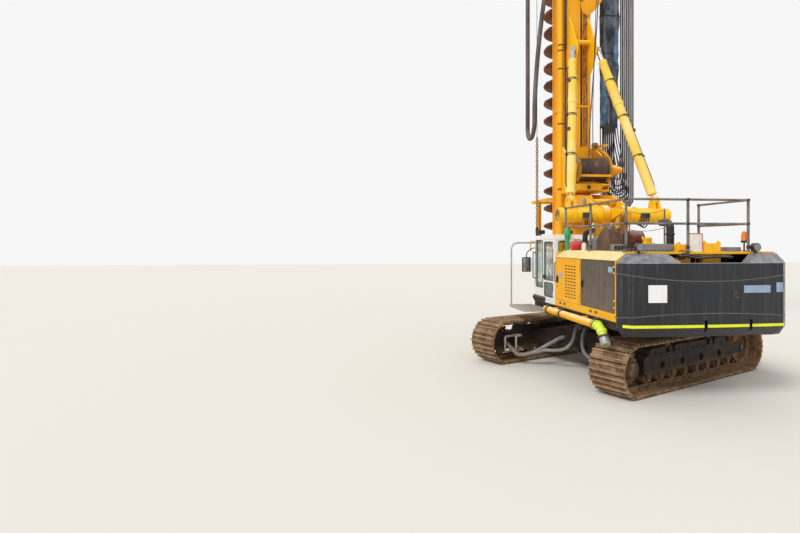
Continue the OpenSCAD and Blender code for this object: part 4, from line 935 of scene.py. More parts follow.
@dataclass
class Crawlers:
    """Tracks, frames, car body and the travel hoses, turned under the house."""

    turn: float = radians(-64)
    half_gauge: float = 1.7
    half_run: float = 2.07
    axle_z: float = 0.51
    loop_r: float = 0.444
    shoes: int = 51
    shoe_half: float = 0.374
    sleeve_r: float = 0.044
    slack_r: float = 0.038
    sleeve: tuple[Triple, ...] = ((-0.56, -1.02, 0.66), (-0.61, -1.14, 0.62), (-0.74, -1.38, 0.48),
        (-0.9, -1.62, 0.33), (-1.08, -1.78, 0.24), (-1.24, -1.87, 0.24), (-1.36, -1.91, 0.34), (-1.46, -1.93, 0.42),
        (-1.53, -1.94, 0.47))

    # The slack loops beside the sleeves, in the machine's own frame
    loops: tuple[tuple[Triple, ...], ...] = (((-1.99, 0.12, 0.28), (-1.82, 0.02, 0.33), (-1.68, -0.1, 0.39),
        (-1.5, -0.25, 0.41), (-1.33, -0.37, 0.47), (-1.21, -0.42, 0.6), (-1.15, -0.43, 0.74), (-1.11, -0.41, 0.88),
        (-1.03, -0.36, 0.96), (-0.95, -0.31, 0.93), (-0.913, -0.295, 0.83)), ((-0.84, -0.42, 0.83),
        (-0.86, -0.46, 0.92), (-0.93, -0.53, 0.93), (-1.03, -0.64, 0.82), (-1.1, -0.74, 0.66), (-1.11, -0.84, 0.5),
        (-1.04, -0.98, 0.38), (-0.98, -1.16, 0.38), (-0.92, -1.27, 0.45)))

    def _turned(self, spot: Triple) -> Triple:
        """A point of the undercarriage, turned as the tracks stand."""
        c, s = cos(self.turn), sin(self.turn)
        return c * spot[0] - s * spot[1], s * spot[0] + c * spot[1], spot[2]

    def _loop(self, along: float, out: float) -> Pair:
        """A point of a track's outline.

        Args:
            along: Distance along the chain, from the rear of its lower run.
            out: Distance outwards from the chain.

        Returns:
            Y, and Z from the axle.
        """
        h, r = self.half_run, self.loop_r
        arc = pi * r
        if along < 2 * h:
            return along - h, -r - out
        if along < 2 * h + arc:
            a = (along - 2 * h) / r
            return h + (r + out) * sin(a), -(r + out) * cos(a)
        if along < 4 * h + arc:
            return 3 * h + arc - along, r + out
        a = (along - 4 * h - arc) / r
        return -h - (r + out) * sin(a), (r + out) * cos(a)

    def _ribbed(self, radius: float, count: int) -> list[float]:
        """Radii along a corrugated sleeve."""
        return [radius + 0.005 * sin(i * 2.4) for i in range(count)]

    def _shoe_lines(self) -> None:
        """The rubbed edges of the grouser bars, and strips of painted shade in the gaps between shoes."""
        edges, gap_shade = Form(), Form()
        pitch = (4 * self.half_run + 2 * pi * self.loop_r) / self.shoes
        for side in (-1, 1):
            for i in range(self.shoes):
                lines = [(edges, (i + 0.5 + b / 4) * pitch, 0.006, 0.058, 0.067) for b in (-1, 1)]
                # Near-black strips in the gaps between shoes are painted shade
                lines.append((gap_shade, i * pitch, 0.013, 0.026, 0.0335))
                for form, at, half, low, high in lines:
                    if at < 2 * self.half_run + 0.1:
                        continue  # the lower run, which the ground hides
                    corners = [self._loop(at + d, out) for d, out in ((-half, low), (half, low), (half, high),
                        (-half, high))]
                    form.rings([[self._turned((side * self.half_gauge + x, y, z + self.axle_z)) for y, z in corners]
                        for x in (-self.shoe_half, self.shoe_half)])
        edges.piece("grouser_edges", RUBBED, Body.UNDER)
        gap_shade.piece("shoe_gap_shade", PAINTED_GAP_SHADE, Body.UNDER)

    def build(self) -> None:
        """Coats the steel and adds sleeves, bolts, guards and clay."""
        coat(CHASSIS, "car_body", "track_frames", "slew_ring")
        coat(CRAWLER, "track_left", "track_right", "sprockets", "idlers", "rollers")
        self._shoe_lines()
        ribs = Form()
        for side in (1, -1):
            fine = smooth([(side * x, y, z) for x, y, z in self.sleeve], 14)
            ribs.tube([self._turned(p) for p in fine], self._ribbed(self.sleeve_r, len(fine)), 16)
        for run in self.loops:
            fine = smooth(list(run), 12)
            ribs.tube(fine, self._ribbed(self.slack_r, len(fine)), 16)
        ribs.piece("travel_hose_sleeves", CORRUGATED, Body.UNDER, ("travel_hoses",))
        boxes = Form()
        for side in (-1, 1):
            for y0, y1 in ((-1.46, -0.88), (-0.62, 0.62), (0.88, 1.36)):
                outline = [(y0, 0.69), (y1, 0.69), (y1 - 0.03, 0.79), (y1 - 0.08, 0.82), (y0 + 0.08, 0.82),
                    (y0 + 0.03, 0.79)]
                boxes.rings([[self._turned((side * self.half_gauge + x, y, z)) for y, z in outline]
                    for x in (-0.155, 0.155)])
        boxes.piece("frame_top_boxes", CHASSIS, Body.UNDER)
        bolts, guards = [], Form()
        for side in (-1, 1):
            for a in angles(16):
                for ring_y, r in ((-self.half_run, 0.15), (self.half_run, 0.09)):
                    bolts.append((self._turned((side * (self.half_gauge + (0.222 if ring_y < 0 else 0.168)),
                        ring_y + r * cos(a), self.axle_z + r * sin(a))), self._turned((side, 0, 0))))
            for k in range(2):
                gx = side * (self.half_gauge - 0.27 - 0.11 * k)
                end, near = -self.half_run + 0.43, -self.half_run + 0.25 * k
                guards.tube([self._turned(p) for p in rounded([(side * (self.half_gauge - 0.16), end, 0.64),
                    (gx, end, 0.64), (gx, near, 0.64), (gx, near, 0.26), (gx, end, 0.34),
                    (side * (self.half_gauge - 0.16), end, 0.34)], 0.03)], 0.027, 14)
        repeated("crawler_bolts", Unit.BOLT, bolts, (0.017, 0.017, 0.024), DARK_STEEL, Body.UNDER)
        guards.piece("drive_guards", GUARD, Body.UNDER, slot="dark_steel")
        ring = [((0.6 * cos(a), 0.6 * sin(a), 1.075), UP) for a in angles(40)]
        repeated("slew_ring_bolts", Unit.BOLT, ring, (0.019, 0.019, 0.024), DARK_STEEL, Body.UNDER)
        steps = Form()
        for side in (-1, 1):
            for y in (-0.5, 0.5):
                steps.tube([self._turned(p) for p in rounded([(side * 0.95, y - 0.16, 0.83),
                    (side * 0.95, y - 0.16, 0.97), (side * 0.95, y + 0.16, 0.97),
                    (side * 0.95, y + 0.16, 0.83)], 0.04)], 0.014)
        steps.piece("car_body_grips", DARK_STEEL, Body.UNDER)
        for name, node, seed in (("left_track_clay", "track_left", 3), ("right_track_clay", "track_right", 8)):
            scattered(name, node, 70.0, 0.02, seed, Body.UNDER, lambda mid, way: way.z > -0.4 and mid.z > 0.05)
        scattered("frame_clay", "track_frames", 50.0, 0.018, 11, Body.UNDER, lambda mid, way: way.z > 0.5)


@dataclass
class TailWeight:
    """The counterweight: seams, tape, blank labels, lifting eyes and the tow bush."""

    half: float = 1.6
    tail: float = 3.34
    bow: float = 0.04
    flat: float = 1.41
    tape_z: Pair = (1.39, 1.44)
    tape_x: tuple[Pair, ...] = ((-1.53, -0.12), (-0.055, 0.735), (0.795, 1.5))

    def _edge(self, x: float, out: float) -> Pair:
        """A point of the tail's outline in plan.

        Args:
            x: Its place across the tail.
            out: Distance outwards from the outline.

        Returns:
            X and Y.
        """
        if abs(x) > self.flat:
            share = (abs(x) - self.flat) / (self.half - self.flat)
            return x, -self.tail + self.bow + 0.17 * share - out * 1.35
        return x, -self.tail + self.bow * (x / self.flat) ** 2 - out

    def _strip(self, span: Pair, height: Pair, form: Form) -> None:
        """Lays a thin strip on the tail's face.

        Args:
            span: Its ends.
            height: Its lower and upper edge.
            form: What it is added to.
        """
        across = spaced(*span, 13)
        across = sorted({*across, *[x for x in (-self.flat, self.flat) if span[0] < x < span[1]]})
        form.slab([self._edge(x, 0.003) for x in across] + [self._edge(x, -0.002) for x in reversed(across)], *height,
            "z", 0)

    def _seam(self, form: Form, rise: float, middle: float, radius: float) -> None:
        """Draws one bowed seam across the face and its two side corners.

        Args:
            form: What it is added to.
            rise: How much higher its ends lie than its middle.
            middle: Its height in the middle.
            radius: Half its width.
        """
        run = [(-self.half - 0.0005, -3.05, middle + rise * 1.05)]
        run += [(*self._edge(x, 0.0005), middle + rise * (x / self.half) ** 2) for x in spaced(-1.598, 1.598, 33)]
        run.append((self.half + 0.0005, -3.05, middle + rise * 1.05))
        form.tube(run, radius, 6)

    def build(self) -> None:
        """Coats the weight and adds its tape, labels and fittings."""
        coat(CHARCOAL, "counterweight")
        tape, sheet, blue, seams, shine = Form(), Form(), Form(), Form(), Form()
        for span in self.tape_x:
            self._strip(span, self.tape_z, tape)
        tape.piece("tail_tape", TAPE, Body.HOUSE)
        self._strip((-1.132, -0.798), (1.828, 2.13), sheet)
        sheet.piece("blank_white_sheet", LABEL, Body.HOUSE)
        self._strip((0.631, 1.152), (1.985, 2.115), blue)
        self._strip((1.27, 1.4), (1.99, 2.16), blue)
        blue.piece("blank_blue_labels", BLUE_LABEL, Body.HOUSE)
        for name, body, y, z in (("blank_rear_label", Body.DOOR_LR, (-2.99, -2.83), (2.33, 2.43)),
                                 ("blank_front_label", Body.DOOR_LF, (-0.82, -0.65), (2.1, 2.21))):
            Form().box((-self.half - 0.003, y[0], z[0]),
                (-self.half + 0.001, y[1], z[1]), 0).piece(name, BLUE_LABEL, body)
        # Below each dark seam runs a thin grey copy, a painted highlight along the seam's lower edge
        for rise, middle in ((0.13, 2.195), (-0.075, 1.64)):
            self._seam(seams, rise, middle, 0.006)
            self._seam(shine, rise, middle - 0.0085, 0.0035)
        seams.piece("tail_seams", SEAL, Body.HOUSE)
        shine.piece("tail_seam_highlights", GREY, Body.HOUSE)
        eyes = Form()
        for x in (-1.18, 1.18):
            eyes.tube(rounded([(x, -2.98, 2.6), (x, -2.98, 2.74), (x, -2.86, 2.74), (x, -2.86, 2.6)], 0.05), 0.017)
        eyes.piece("tail_lifting_eyes", DARK_STEEL, Body.HOUSE)
        Form().lathe([(0, 0.062), (0.012, 0.066), (0.018, 0.06), (0.018, 0.046), (0.008, 0.044)],
            (0.472, -3.332, 1.94), (0, -1, 0)).piece("tail_tow_bush", DARK_STEEL, Body.HOUSE)


@dataclass
class HousePanels:
    """House walls and doors: louvres, latches, seals, grips and vents."""

    half: float = 1.6
    door_z: Pair = (1.62, 2.532)
    front: Pair = (-1.682, -0.52)
    rear: Pair = (-3.047, -1.73)

    def _door(self, side: int, span: Pair, body: Body, tag: str, finish: Surface) -> None:
        """Adds a latch, a pull, a lock and edge folds to one door.

        Args:
            side: -1 for the left, 1 for the right.
            span: The door's rear and front edge.
            body: The door's body.
            tag: What its pieces' names start with.
            finish: Its paint.
        """
        x = side * self.half
        y = span[1] - 0.07
        trim = Form()
        trim.box((x, y - 0.045, 1.98), (x + side * 0.012, y + 0.045, 2.14), 0.005)
        trim.box((x + side * 0.01, y - 0.012, 2.0), (x + side * 0.032, y + 0.012, 2.11), 0.006)
        trim.disc((x, y, 1.9), (side, 0, 0), 0.018, 0.01)
        trim.piece(f"{tag}_latch", PLASTIC, body)
        folds = Form()
        for z0, z1 in ((self.door_z[0], self.door_z[0] + 0.016), (self.door_z[1] - 0.018, self.door_z[1] - 0.002)):
            folds.box((x - side * 0.004, span[0] + 0.012, z0), (x + side * 0.004, span[1] - 0.008, z1), 0.0015)
        for y0 in (span[0] + 0.012, span[1] - 0.024):
            folds.box((x - side * 0.004, y0, self.door_z[0]), (x + side * 0.004, y0 + 0.016, self.door_z[1]), 0.0015)
        folds.piece(f"{tag}_folds", finish, body)

    def build(self) -> None:
        """Coats the panels and adds their fittings."""
        coat(YELLOW, "house_frame", "right_tank", "door_left_front", "door_right_front")
        coat(BROWN, "door_left_rear", "door_right_rear")
        coat(CHASSIS, "deck")
        coat(GREY, "engine")
        for door in ((-1, self.front, Body.DOOR_LF, "left_front_door", YELLOW),
                     (-1, self.rear, Body.DOOR_LR, "left_rear_door", BROWN),
                     (1, self.front, Body.DOOR_RF, "right_front_door", YELLOW),
                     (1, self.rear, Body.DOOR_RR, "right_rear_door", BROWN)):
            self._door(*door)
        for side, body, tag in ((-1, Body.DOOR_LF, "left"), (1, Body.DOOR_RF, "right")):
            # The blacked louvre blades and the black plate behind them are painted shade in the louvre slots
            blades = [((side * (self.half - 0.03), -1.5 + 0.1375 * (i + 0.5), 1.708 + 0.0655 * j),
                (side * 0.75, 0.0, -0.66)) for i in range(4) for j in range(11)]
            repeated(f"{tag}_louvre_blades", Unit.BLOCK, blades, (0.012, 0.105, 0.003), DARK_STEEL, body)
            Form().box((side * (self.half - 0.036), -1.52, 1.69),
                (side * (self.half - 0.041), -0.93, 2.45), 0).piece(f"{tag}_louvre_shade", PLASTIC, body)
        seal = Form()
        for side in (-1, 1):
            for y0, y1 in (self.front, self.rear):
                x = side * (self.half - 0.03)
                seal.tube(window((x, y0 - 0.009, 1.614), (x, y1 + 0.003, 2.541), 0.02), 0.004, 6)
            for y in (-0.72, -0.94, -2.13, -2.35):
                seal.box((side * (self.half - 0.03), y - 0.066, 1.505),
                    (side * (self.half - 0.036), y + 0.066, 1.585), 0)
        seal.piece("door_seals", SEAL, Body.HOUSE)
        edge_bolts = [((side * (self.half + 0.0005), -0.6 - 0.19 * k, 1.488), (side, 0, 0)) for side in (-1, 1)
            for k in range(13)]
        repeated("skirt_bolts", Unit.BOLT, edge_bolts, (0.009, 0.009, 0.012), ZINC, Body.HOUSE)
        grips = Form()
        for side in (-1, 1):
            grips.tube(rounded([(side * 1.602, -0.5, 2.0), (side * 1.64, -0.5, 2.0), (side * 1.64, -0.5, 2.42),
                (side * 1.602, -0.5, 2.42)], 0.03), 0.011)
        for x in (-0.9, 0.0, 0.9):
            for y in (-2.2, -1.2):
                grips.tube(rounded([(x - 0.09, y, 2.698), (x - 0.09, y, 2.74), (x + 0.09, y, 2.74),
                    (x + 0.09, y, 2.698)], 0.03), 0.009)
        grips.piece("house_grips", RAIL, Body.HOUSE)
        lids = Form()
        for x0, x1, y0, y1 in ((0.1, 0.75, -1.7, -0.7), (0.82, 1.36, -2.6, -1.2)):
            lids.box((x0, y0, 2.7), (x1, y1, 2.722), 0.006)
        lids.piece("roof_lids", YELLOW, Body.HOUSE)
        cap = Form().lathe([(0, 0.07), (0.02, 0.075), (0.05, 0.072), (0.06, 0.05)], (1.25, 0.2, 2.15))
        cap.lathe([(0, 0.06), (0.03, 0.062), (0.045, 0.045)], (0.95, -0.25, 2.15))
        cap.piece("tank_caps", DARK_STEEL, Body.HOUSE)


@dataclass
class DeckGear:
    """What stands on the house's roof: cans, cap, filter, covers, exhaust, brackets, beacon, hoses."""

    roof: float = 2.7

    def build(self) -> None:
        """Makes the gear in its own finishes."""
        z = self.roof
        red = Form().lathe([(0, 0.03), (0.01, 0.085), (0.03, 0.1), (0.28, 0.1), (0.3, 0.085), (0.31, 0.03)],
            (-1.445, -0.9, z + 0.1), (1, 0, 0))
        red.tube(rounded([(-1.35, -0.9, z + 0.195), (-1.35, -0.9, z + 0.235), (-1.22, -0.9, z + 0.235),
            (-1.22, -0.9, z + 0.195)], 0.02), 0.008)
        red.piece("red_can", RED, Body.HOUSE, ("deck_gear",))
        Form().lathe([(0, 0.05), (0.28, 0.05), (0.29, 0.07), (0.46, 0.07), (0.49, 0.05), (0.5, 0.02)],
            (-1.385, -0.62, z)).piece("green_filter", GREEN, Body.HOUSE, ("deck_gear",))
        white = Form()
        for x, y, r, h in ((-1.3, -0.66, 0.06, 0.24), (-1.16, -0.7, 0.055, 0.2), (-1.24, -1.12, 0.05, 0.17)):
            white.lathe([(0, r), (h - 0.04, r), (h - 0.02, r * 0.7), (h - 0.015, r * 0.4), (h, r * 0.38)], (x, y, z))
        white.piece("white_cans", CREAM, Body.HOUSE, ("deck_gear",))
        elbow = Form().tube(smooth([(-1.16, -1.0, z), (-1.16, -1.0, z + 0.26), (-1.15, -1.02, z + 0.36),
            (-1.1, -1.1, z + 0.42), (-1.05, -1.18, z + 0.42)], 5), 0.055, 18)
        elbow.lathe([(0, 0.06), (0.01, 0.068), (0.05, 0.068), (0.06, 0.06)], (-1.16, -1.0, z + 0.1))
        elbow.piece("intake_elbow", PLASTIC, Body.HOUSE, ("deck_gear",))
        tank = Form().lathe([(0, 0.09), (0.01, 0.096), (0.24, 0.096), (0.265, 0.08), (0.28, 0.03)], (-1.02, -1.24, z))
        for h in (0.05, 0.2):
            tank.lathe([(0, 0.1), (0.004, 0.101), (0.018, 0.101), (0.022, 0.1)], (-1.02, -1.24, z + h))
        tank.box((-0.55, -1.86, z), (-0.25, -1.6, z + 0.2), 0.008)
        tank.piece("grey_tanks", GREY, Body.HOUSE, ("deck_gear",))
        cover = Form()
        crest = [0.5, 0.43, 0.49, 0.38, 0.46, 0.35, 0.4]
        for k, x in enumerate(spaced(-1.06, -0.76, 6)):
            top = crest[k]
            cover.slab([(-1.85, z), (-1.35, z), (-1.35 - 0.01 * (k % 2), z + top * 0.5), (-1.5, z + top * 0.82),
                (-1.7, z + top), (-1.85, z + crest[k + 1])], x, x + 0.066, "x", 0.012)
        cover.piece("brown_covers", UMBER, Body.HOUSE, ("deck_gear",))
        Form().lathe([(0, 0.1), (0.012, 0.138), (0.29, 0.138), (0.302, 0.1)], (-0.81, -2.05, z + 0.26),
            (1, 0, 0)).piece("maroon_receiver", MAROON, Body.HOUSE, ("deck_gear",))
        ends = Form()
        for x in (-0.815, -0.51):
            ends.lathe([(0, 0.05), (0, 0.108), (0.01, 0.112), (0.014, 0.06)], (x, -2.05, z + 0.26),
                (1 if x > -0.6 else -1, 0, 0))
        for x in (-0.78, -0.57):
            ends.slab([(-2.18, z), (-1.92, z), (-1.94, z + 0.2), (-2.16, z + 0.2)], x, x + 0.03, "x", 0.004)
        ends.piece("receiver_ends", DARK_STEEL, Body.HOUSE)
        low = Form().box((-1.0, -2.98, z), (-0.46, -2.78, z + 0.14), 0.01)
        low.box((-1.38, -2.62, z), (-1.19, -2.48, z + 0.135), 0.008)
        low.box((0.6, -2.98, z), (0.86, -2.78, z + 0.08), 0.008)
        low.piece("deck_boxes", GREY, Body.HOUSE)
        dark = Form()
        for k in range(3):
            dark.box((-1.368 + 0.06 * k, -2.624, z + 0.03), (-1.32 + 0.06 * k, -2.616, z + 0.105), 0.002)
        for k in range(7):
            dark.box((-0.98 + 0.075 * k, -2.984, z + 0.02), (-0.93 + 0.075 * k, -2.978, z + 0.03), 0)
        dark.piece("deck_box_vents", PLASTIC, Body.HOUSE)
        valve = Form().box((-0.68, -2.5, z), (-0.5, -2.34, z + 0.16), 0.01)
        for k, x in enumerate((-0.65, -0.59, -0.53)):
            valve.lathe([(0, 0.026), (0.1, 0.026), (0.11, 0.018)], (x, -2.46 + 0.03 * k, z + 0.15))
            valve.tube(smooth([(x, -2.42, z + 0.14), (x - 0.03, -2.38, z + 0.26 - 0.03 * k),
                (x + 0.05, -2.3, z + 0.22), (x + 0.06, -2.26, z + 0.02)], 4), 0.016, 8)
        valve.piece("valve_block", HEAD_YELLOW, Body.HOUSE)
        stack = Form().tube([(-0.33, -2.7, z), (-0.33, -2.7, z + 0.42), *[(-0.33, -2.58 - 0.12 * cos(a),
            z + 0.42 + 0.12 * sin(a)) for a in [pi / 2 * k / 8 for k in range(1, 9)]], (-0.33, -2.42, z + 0.54)],
            0.068, 24)
        for h in (0.03, 0.3):
            stack.lathe([(0, 0.07), (0.006, 0.08), (0.03, 0.08), (0.036, 0.07)], (-0.33, -2.7, z + h))
        stack.piece("exhaust_stack", PLASTIC, Body.HOUSE, ("exhaust",))
        brackets = Form()
        for low, high, peak in ((-0.42, -0.15, 2.88), (0.07, 0.43, 2.9)):
            brackets.slab([(low, 2.51), (high, 2.51), (high, peak - 0.03), (high - 0.06, peak),
                (high - 0.09, peak - 0.05), (low + 0.09, peak - 0.05), (low + 0.06, peak), (low, peak - 0.03)], -3.02,
                -3.005, "y", 0.003)
            for x in (low, high - 0.014):
                brackets.box((x, -3.006, 2.51), (x + 0.014, -2.9, peak - 0.05), 0.003)
        brackets.piece("roof_brackets", YELLOW, Body.HOUSE)
        Form().box((-0.2, -3.045, 2.66), (0.06, -3.035, 3.02), 0.004).piece("blank_board", CREAM, Body.HOUSE)
        rim = Form().tube(window((-0.2, -3.04, 2.66), (0.06, -3.04, 3.02), 0.02), 0.01, 8)
        rim.tube([(-0.07, -3.03, 2.5), (-0.07, -3.03, 2.68)], 0.012, 8)
        rim.piece("board_rim", RED, Body.HOUSE)
        hoses = Form()
        for k in range(7):
            y, lift = -3.12 + 0.03 * k, 0.03 + 0.035 * (k % 3)
            hoses.tube(smooth([(-0.52 + 0.02 * k, -2.75, 2.54 + lift), (-0.38 + 0.02 * k, y, 2.6 + lift),
                (-0.1, y, 2.56 + lift), (0.25 - 0.03 * k, y, 2.61), (0.6, y + 0.03, 2.57 + lift),
                (0.78 - 0.02 * k, -2.72, 2.6)], 5), 0.02, 10)
        hoses.tube([(-0.34 + 0.08 * cos(a), -3.06, 2.64 + 0.07 * sin(a)) for a in angles(18)], 0.018, 8, True)
        hoses.piece("tail_hoses", PLASTIC, Body.HOUSE, slot="rubber")
        lamp = Form().lathe([(0, 0.05), (0.02, 0.055), (0.04, 0.05)], (0.944, -2.95, z + 0.16))
        lamp.tube([(0.944, -2.95, z), (0.944, -2.95, z + 0.17)], 0.014, 10)
        lamp.piece("beacon_foot", PLASTIC, Body.HOUSE)
        Form().lathe([(0, 0.05), (0.09, 0.048), (0.15, 0.036), (0.17, 0.012)], (0.944, -2.95, z + 0.2),
            sides=24).piece("beacon", AMBER, Body.HOUSE)


@dataclass
class Walkway:
    """Handrails, their clamps and the lamps at the tail."""

    x: Pair = (-1.38, 0.95)
    y: tuple[float, float, float] = (-3.04, -1.7, -0.52)
    z: Pair = (3.2, 3.63)

    def build(self) -> None:
        """Coats the rails and adds clamps, wire loops and lamp glasses."""
        coat(RAIL, "handrails")
        coat(PLASTIC, "work_lamps")
        posts = [(self.x[0], self.y[2]), (self.x[0], self.y[1]), (self.x[0], self.y[0]), (-0.215, self.y[0]),
            (self.x[1], self.y[0]), (self.x[1], self.y[1])]
        bands = [((x, y, z), UP) for x, y in posts for z in (2.78, self.z[0], self.z[1])]
        repeated("rail_clamps", Unit.BAND, bands, (0.03, 0.03, 0.05), DARK_STEEL, Body.HOUSE)
        feet = [((x + a, y + b, 2.712), UP) for x, y in posts for a in (-0.034, 0.034) for b in (-0.034, 0.034)]
        repeated("rail_foot_bolts", Unit.BOLT, feet, (0.009, 0.009, 0.014), ZINC, Body.HOUSE)
        chain = Form()
        for z in (3.2, 3.6):
            sag = [(-0.1 + 1.05 * t, -0.54, z - 0.3 * t * (1 - t)) for t in [k / 12 for k in range(13)]]
            chain.tube(sag, 0.007, 8)
        for x in (-0.1, 0.95):
            chain.tube([(x, -0.54, 2.7), (x, -0.54, 3.63)], 0.02, 12)
        chain.piece("gate_chains", RAIL, Body.HOUSE)
        glasses = Form()
        for x in (1.01, -1.2):
            glasses.disc((x, -3.182, 2.78), (0, -1, 0), 0.064, 0.006)
        glasses.piece("lamp_glasses", LENS, Body.HOUSE)


@dataclass
class Cab:
    """The cab: window rubbers, seat, controls, mirror, lamps, handles, wiper and the step's bellows."""

    left: float = -1.6
    right: float = -0.68

    def _rubbers(self) -> None:
        """Black rubber round every window."""
        fixed, leaf = Form(), Form()
        for x, y0, y1, z0, z1 in ((self.left, 0.28, 0.72, 1.8, 2.92), (self.right, -0.33, 0.7, 1.95, 2.92)):
            fixed.tube(window((x, y0, z0), (x, y1, z1), 0.06), 0.01, 8)
        for z0, z1 in ((1.62, 1.94), (2.0, 2.88)):
            leaf.tube(window((self.left, -0.335, z0), (self.left, 0.17, z1), 0.05), 0.01, 8)
        for low, high in (((-1.52, 0.836, 1.89), (-0.76, 0.786, 2.88)),
                ((-1.52, -0.452, 2.25), (-0.76, -0.452, 2.9))):
            fixed.tube(rounded([low, (high[0], low[1], low[2]), high, (low[0], high[1], high[2]), low], 0.06),
                0.01, 8)
        fixed.piece("cab_window_rubbers", SEAL, Body.HOUSE)
        leaf.piece("door_window_rubbers", SEAL, Body.CAB_DOOR)

    def _inside(self) -> None:
        """Seat, consoles, screen and floor seen through the glass."""
        x = (self.left + self.right) / 2
        seat = Form().box((x - 0.25, -0.28, 1.8), (x + 0.25, 0.2, 1.93), 0.05)
        seat.slab([(-0.25, 1.93), (-0.13, 1.93), (-0.17, 2.4), (-0.24, 2.56), (-0.3, 2.55), (-0.29, 2.4)], x - 0.23,
            x + 0.23, "x", 0.035)
        seat.box((x - 0.13, -0.3, 2.56), (x + 0.13, -0.2, 2.74), 0.035)
        body = seat.piece("operator_seat", VINYL, Body.HOUSE, ("cab_seat",))
        stand = Form().box((x - 0.19, -0.24, 1.52), (x + 0.19, 0.15, 1.6), 0.01)
        for k in range(5):
            r = 0.13 + 0.012 * (k % 2)
            stand.lathe([(0, r), (0.045, r)], (x, -0.05, 1.6 + 0.04 * k))
        for side in (-1, 1):
            stand.box((x + side * 0.27, -0.2, 1.6), (x + side * 0.36, 0.3, 1.98), 0.02)
            stand.tube(smooth([(x + side * 0.315, 0.22, 1.97), (x + side * 0.315, 0.24, 2.05),
                (x + side * 0.31, 0.24, 2.14)], 4), [0.012] * 4 + [0.02] * 5, 12)
            stand.tube([(x + side * 0.1, 0.42, 1.5), (x + side * 0.1, 0.45, 1.72)], 0.012, 8)
            stand.box((x + side * 0.04, 0.4, 1.52), (x + side * 0.16, 0.56, 1.55), 0.008)
        stand.box((-0.98, 0.42, 1.9), (-0.74, 0.46, 2.1), 0.01)
        stand.tube([(-0.86, 0.44, 1.52), (-0.86, 0.44, 1.95)], 0.014, 8)
        stand.piece("cab_controls", PLASTIC, Body.HOUSE)

    def build(self) -> None:
        """Coats the shell and glass and adds everything that stands on it."""
        coat(WHITE, "cab_shell", "cab_door")
        coat(GLASS, "cab_glass", "cab_door_glass")
        coat(GUARD, "cab_platform")
        self._rubbers()
        self._inside()
        Form().tube(rounded([(-1.602, 0.74, 2.0), (-1.66, 0.76, 2.0), (-1.66, 0.76, 2.62),
            (-1.602, 0.74, 2.62)], 0.04), 0.012).piece("cab_grab_rail", PLASTIC, Body.HOUSE)
        Form().tube(rounded([(-1.601, 0.71, 2.86), (-1.625, 0.72, 2.9), (-1.625, 1.03, 2.9), (-1.61, 1.05, 2.66),
            (-1.601, 0.82, 2.63)], 0.03), 0.013).piece("cab_orange_handle", YELLOW, Body.HOUSE)
        arms = Form().tube(smooth([(-1.6, 0.8, 2.74), (-1.68, 0.86, 2.7), (-1.77, 0.9, 2.6),
            (-1.77, 0.9, 2.47)], 4), 0.012)
        arms.slab([(-1.885, 2.14), (-1.665, 2.14), (-1.655, 2.16), (-1.655, 2.48), (-1.68, 2.505), (-1.87, 2.505),
            (-1.89, 2.48), (-1.89, 2.16)], 0.875, 0.92, "y", 0.012)
        arms.piece("cab_mirror", PLASTIC, Body.HOUSE)
        Form().box((-1.87, 0.868, 2.16), (-1.675, 0.876, 2.485), 0.003).piece("mirror_face", CHROME, Body.HOUSE)
        lamp, glass = Form(), Form()
        for x in (-1.5, -0.8):
            lamp.box((x - 0.09, 0.6, 3.07), (x + 0.09, 0.7, 3.17), 0.02)
            lamp.tube([(x, 0.65, 3.0), (x, 0.65, 3.09)], 0.014, 8)
            glass.box((x - 0.078, 0.694, 3.082), (x + 0.078, 0.706, 3.158), 0.004)
        lamp.piece("cab_lamps", PLASTIC, Body.HOUSE)
        glass.piece("cab_lamp_glasses", LENS, Body.HOUSE)
        wiper = Form().tube([(-1.1, 0.852, 1.84), (-1.14, 0.83, 2.1), (-1.22, 0.815, 2.4)], 0.008, 8)
        wiper.tube([(-1.24, 0.83, 2.1), (-1.2, 0.805, 2.62)], 0.007, 8)
        wiper.lathe([(0, 0.02), (0.04, 0.02)], (-1.1, 0.85, 1.84), (0, 1, 0))
        wiper.piece("screen_wiper", SEAL, Body.HOUSE)
        Form().tube([(-1.585, 0.13 + 0.03 * k, 1.535) for k in range(25)],
            [0.052 + 0.014 * (k % 2) for k in range(25)], 16).piece("cab_hose_bellows", RUBBER, Body.HOUSE)
        latch = Form().box((-1.612, 0.14, 2.0), (-1.599, 0.2, 2.12), 0.005)
        latch.box((-1.635, 0.155, 2.03), (-1.608, 0.18, 2.1), 0.006)
        latch.piece("cab_door_latch", PLASTIC, Body.CAB_DOOR)
        tread = Form()
        for k in range(22):
            tread.box((-2.15, -0.02 + 0.045 * k, 1.33), (-1.65, -0.004 + 0.045 * k, 1.338), 0.002)
        tread.piece("platform_tread", GUARD, Body.HOUSE)
        Form().box((-1.46, -0.2, 3.028), (-0.84, 0.42, 3.05), 0.014).piece("cab_roof_hatch", WHITE, Body.HOUSE)


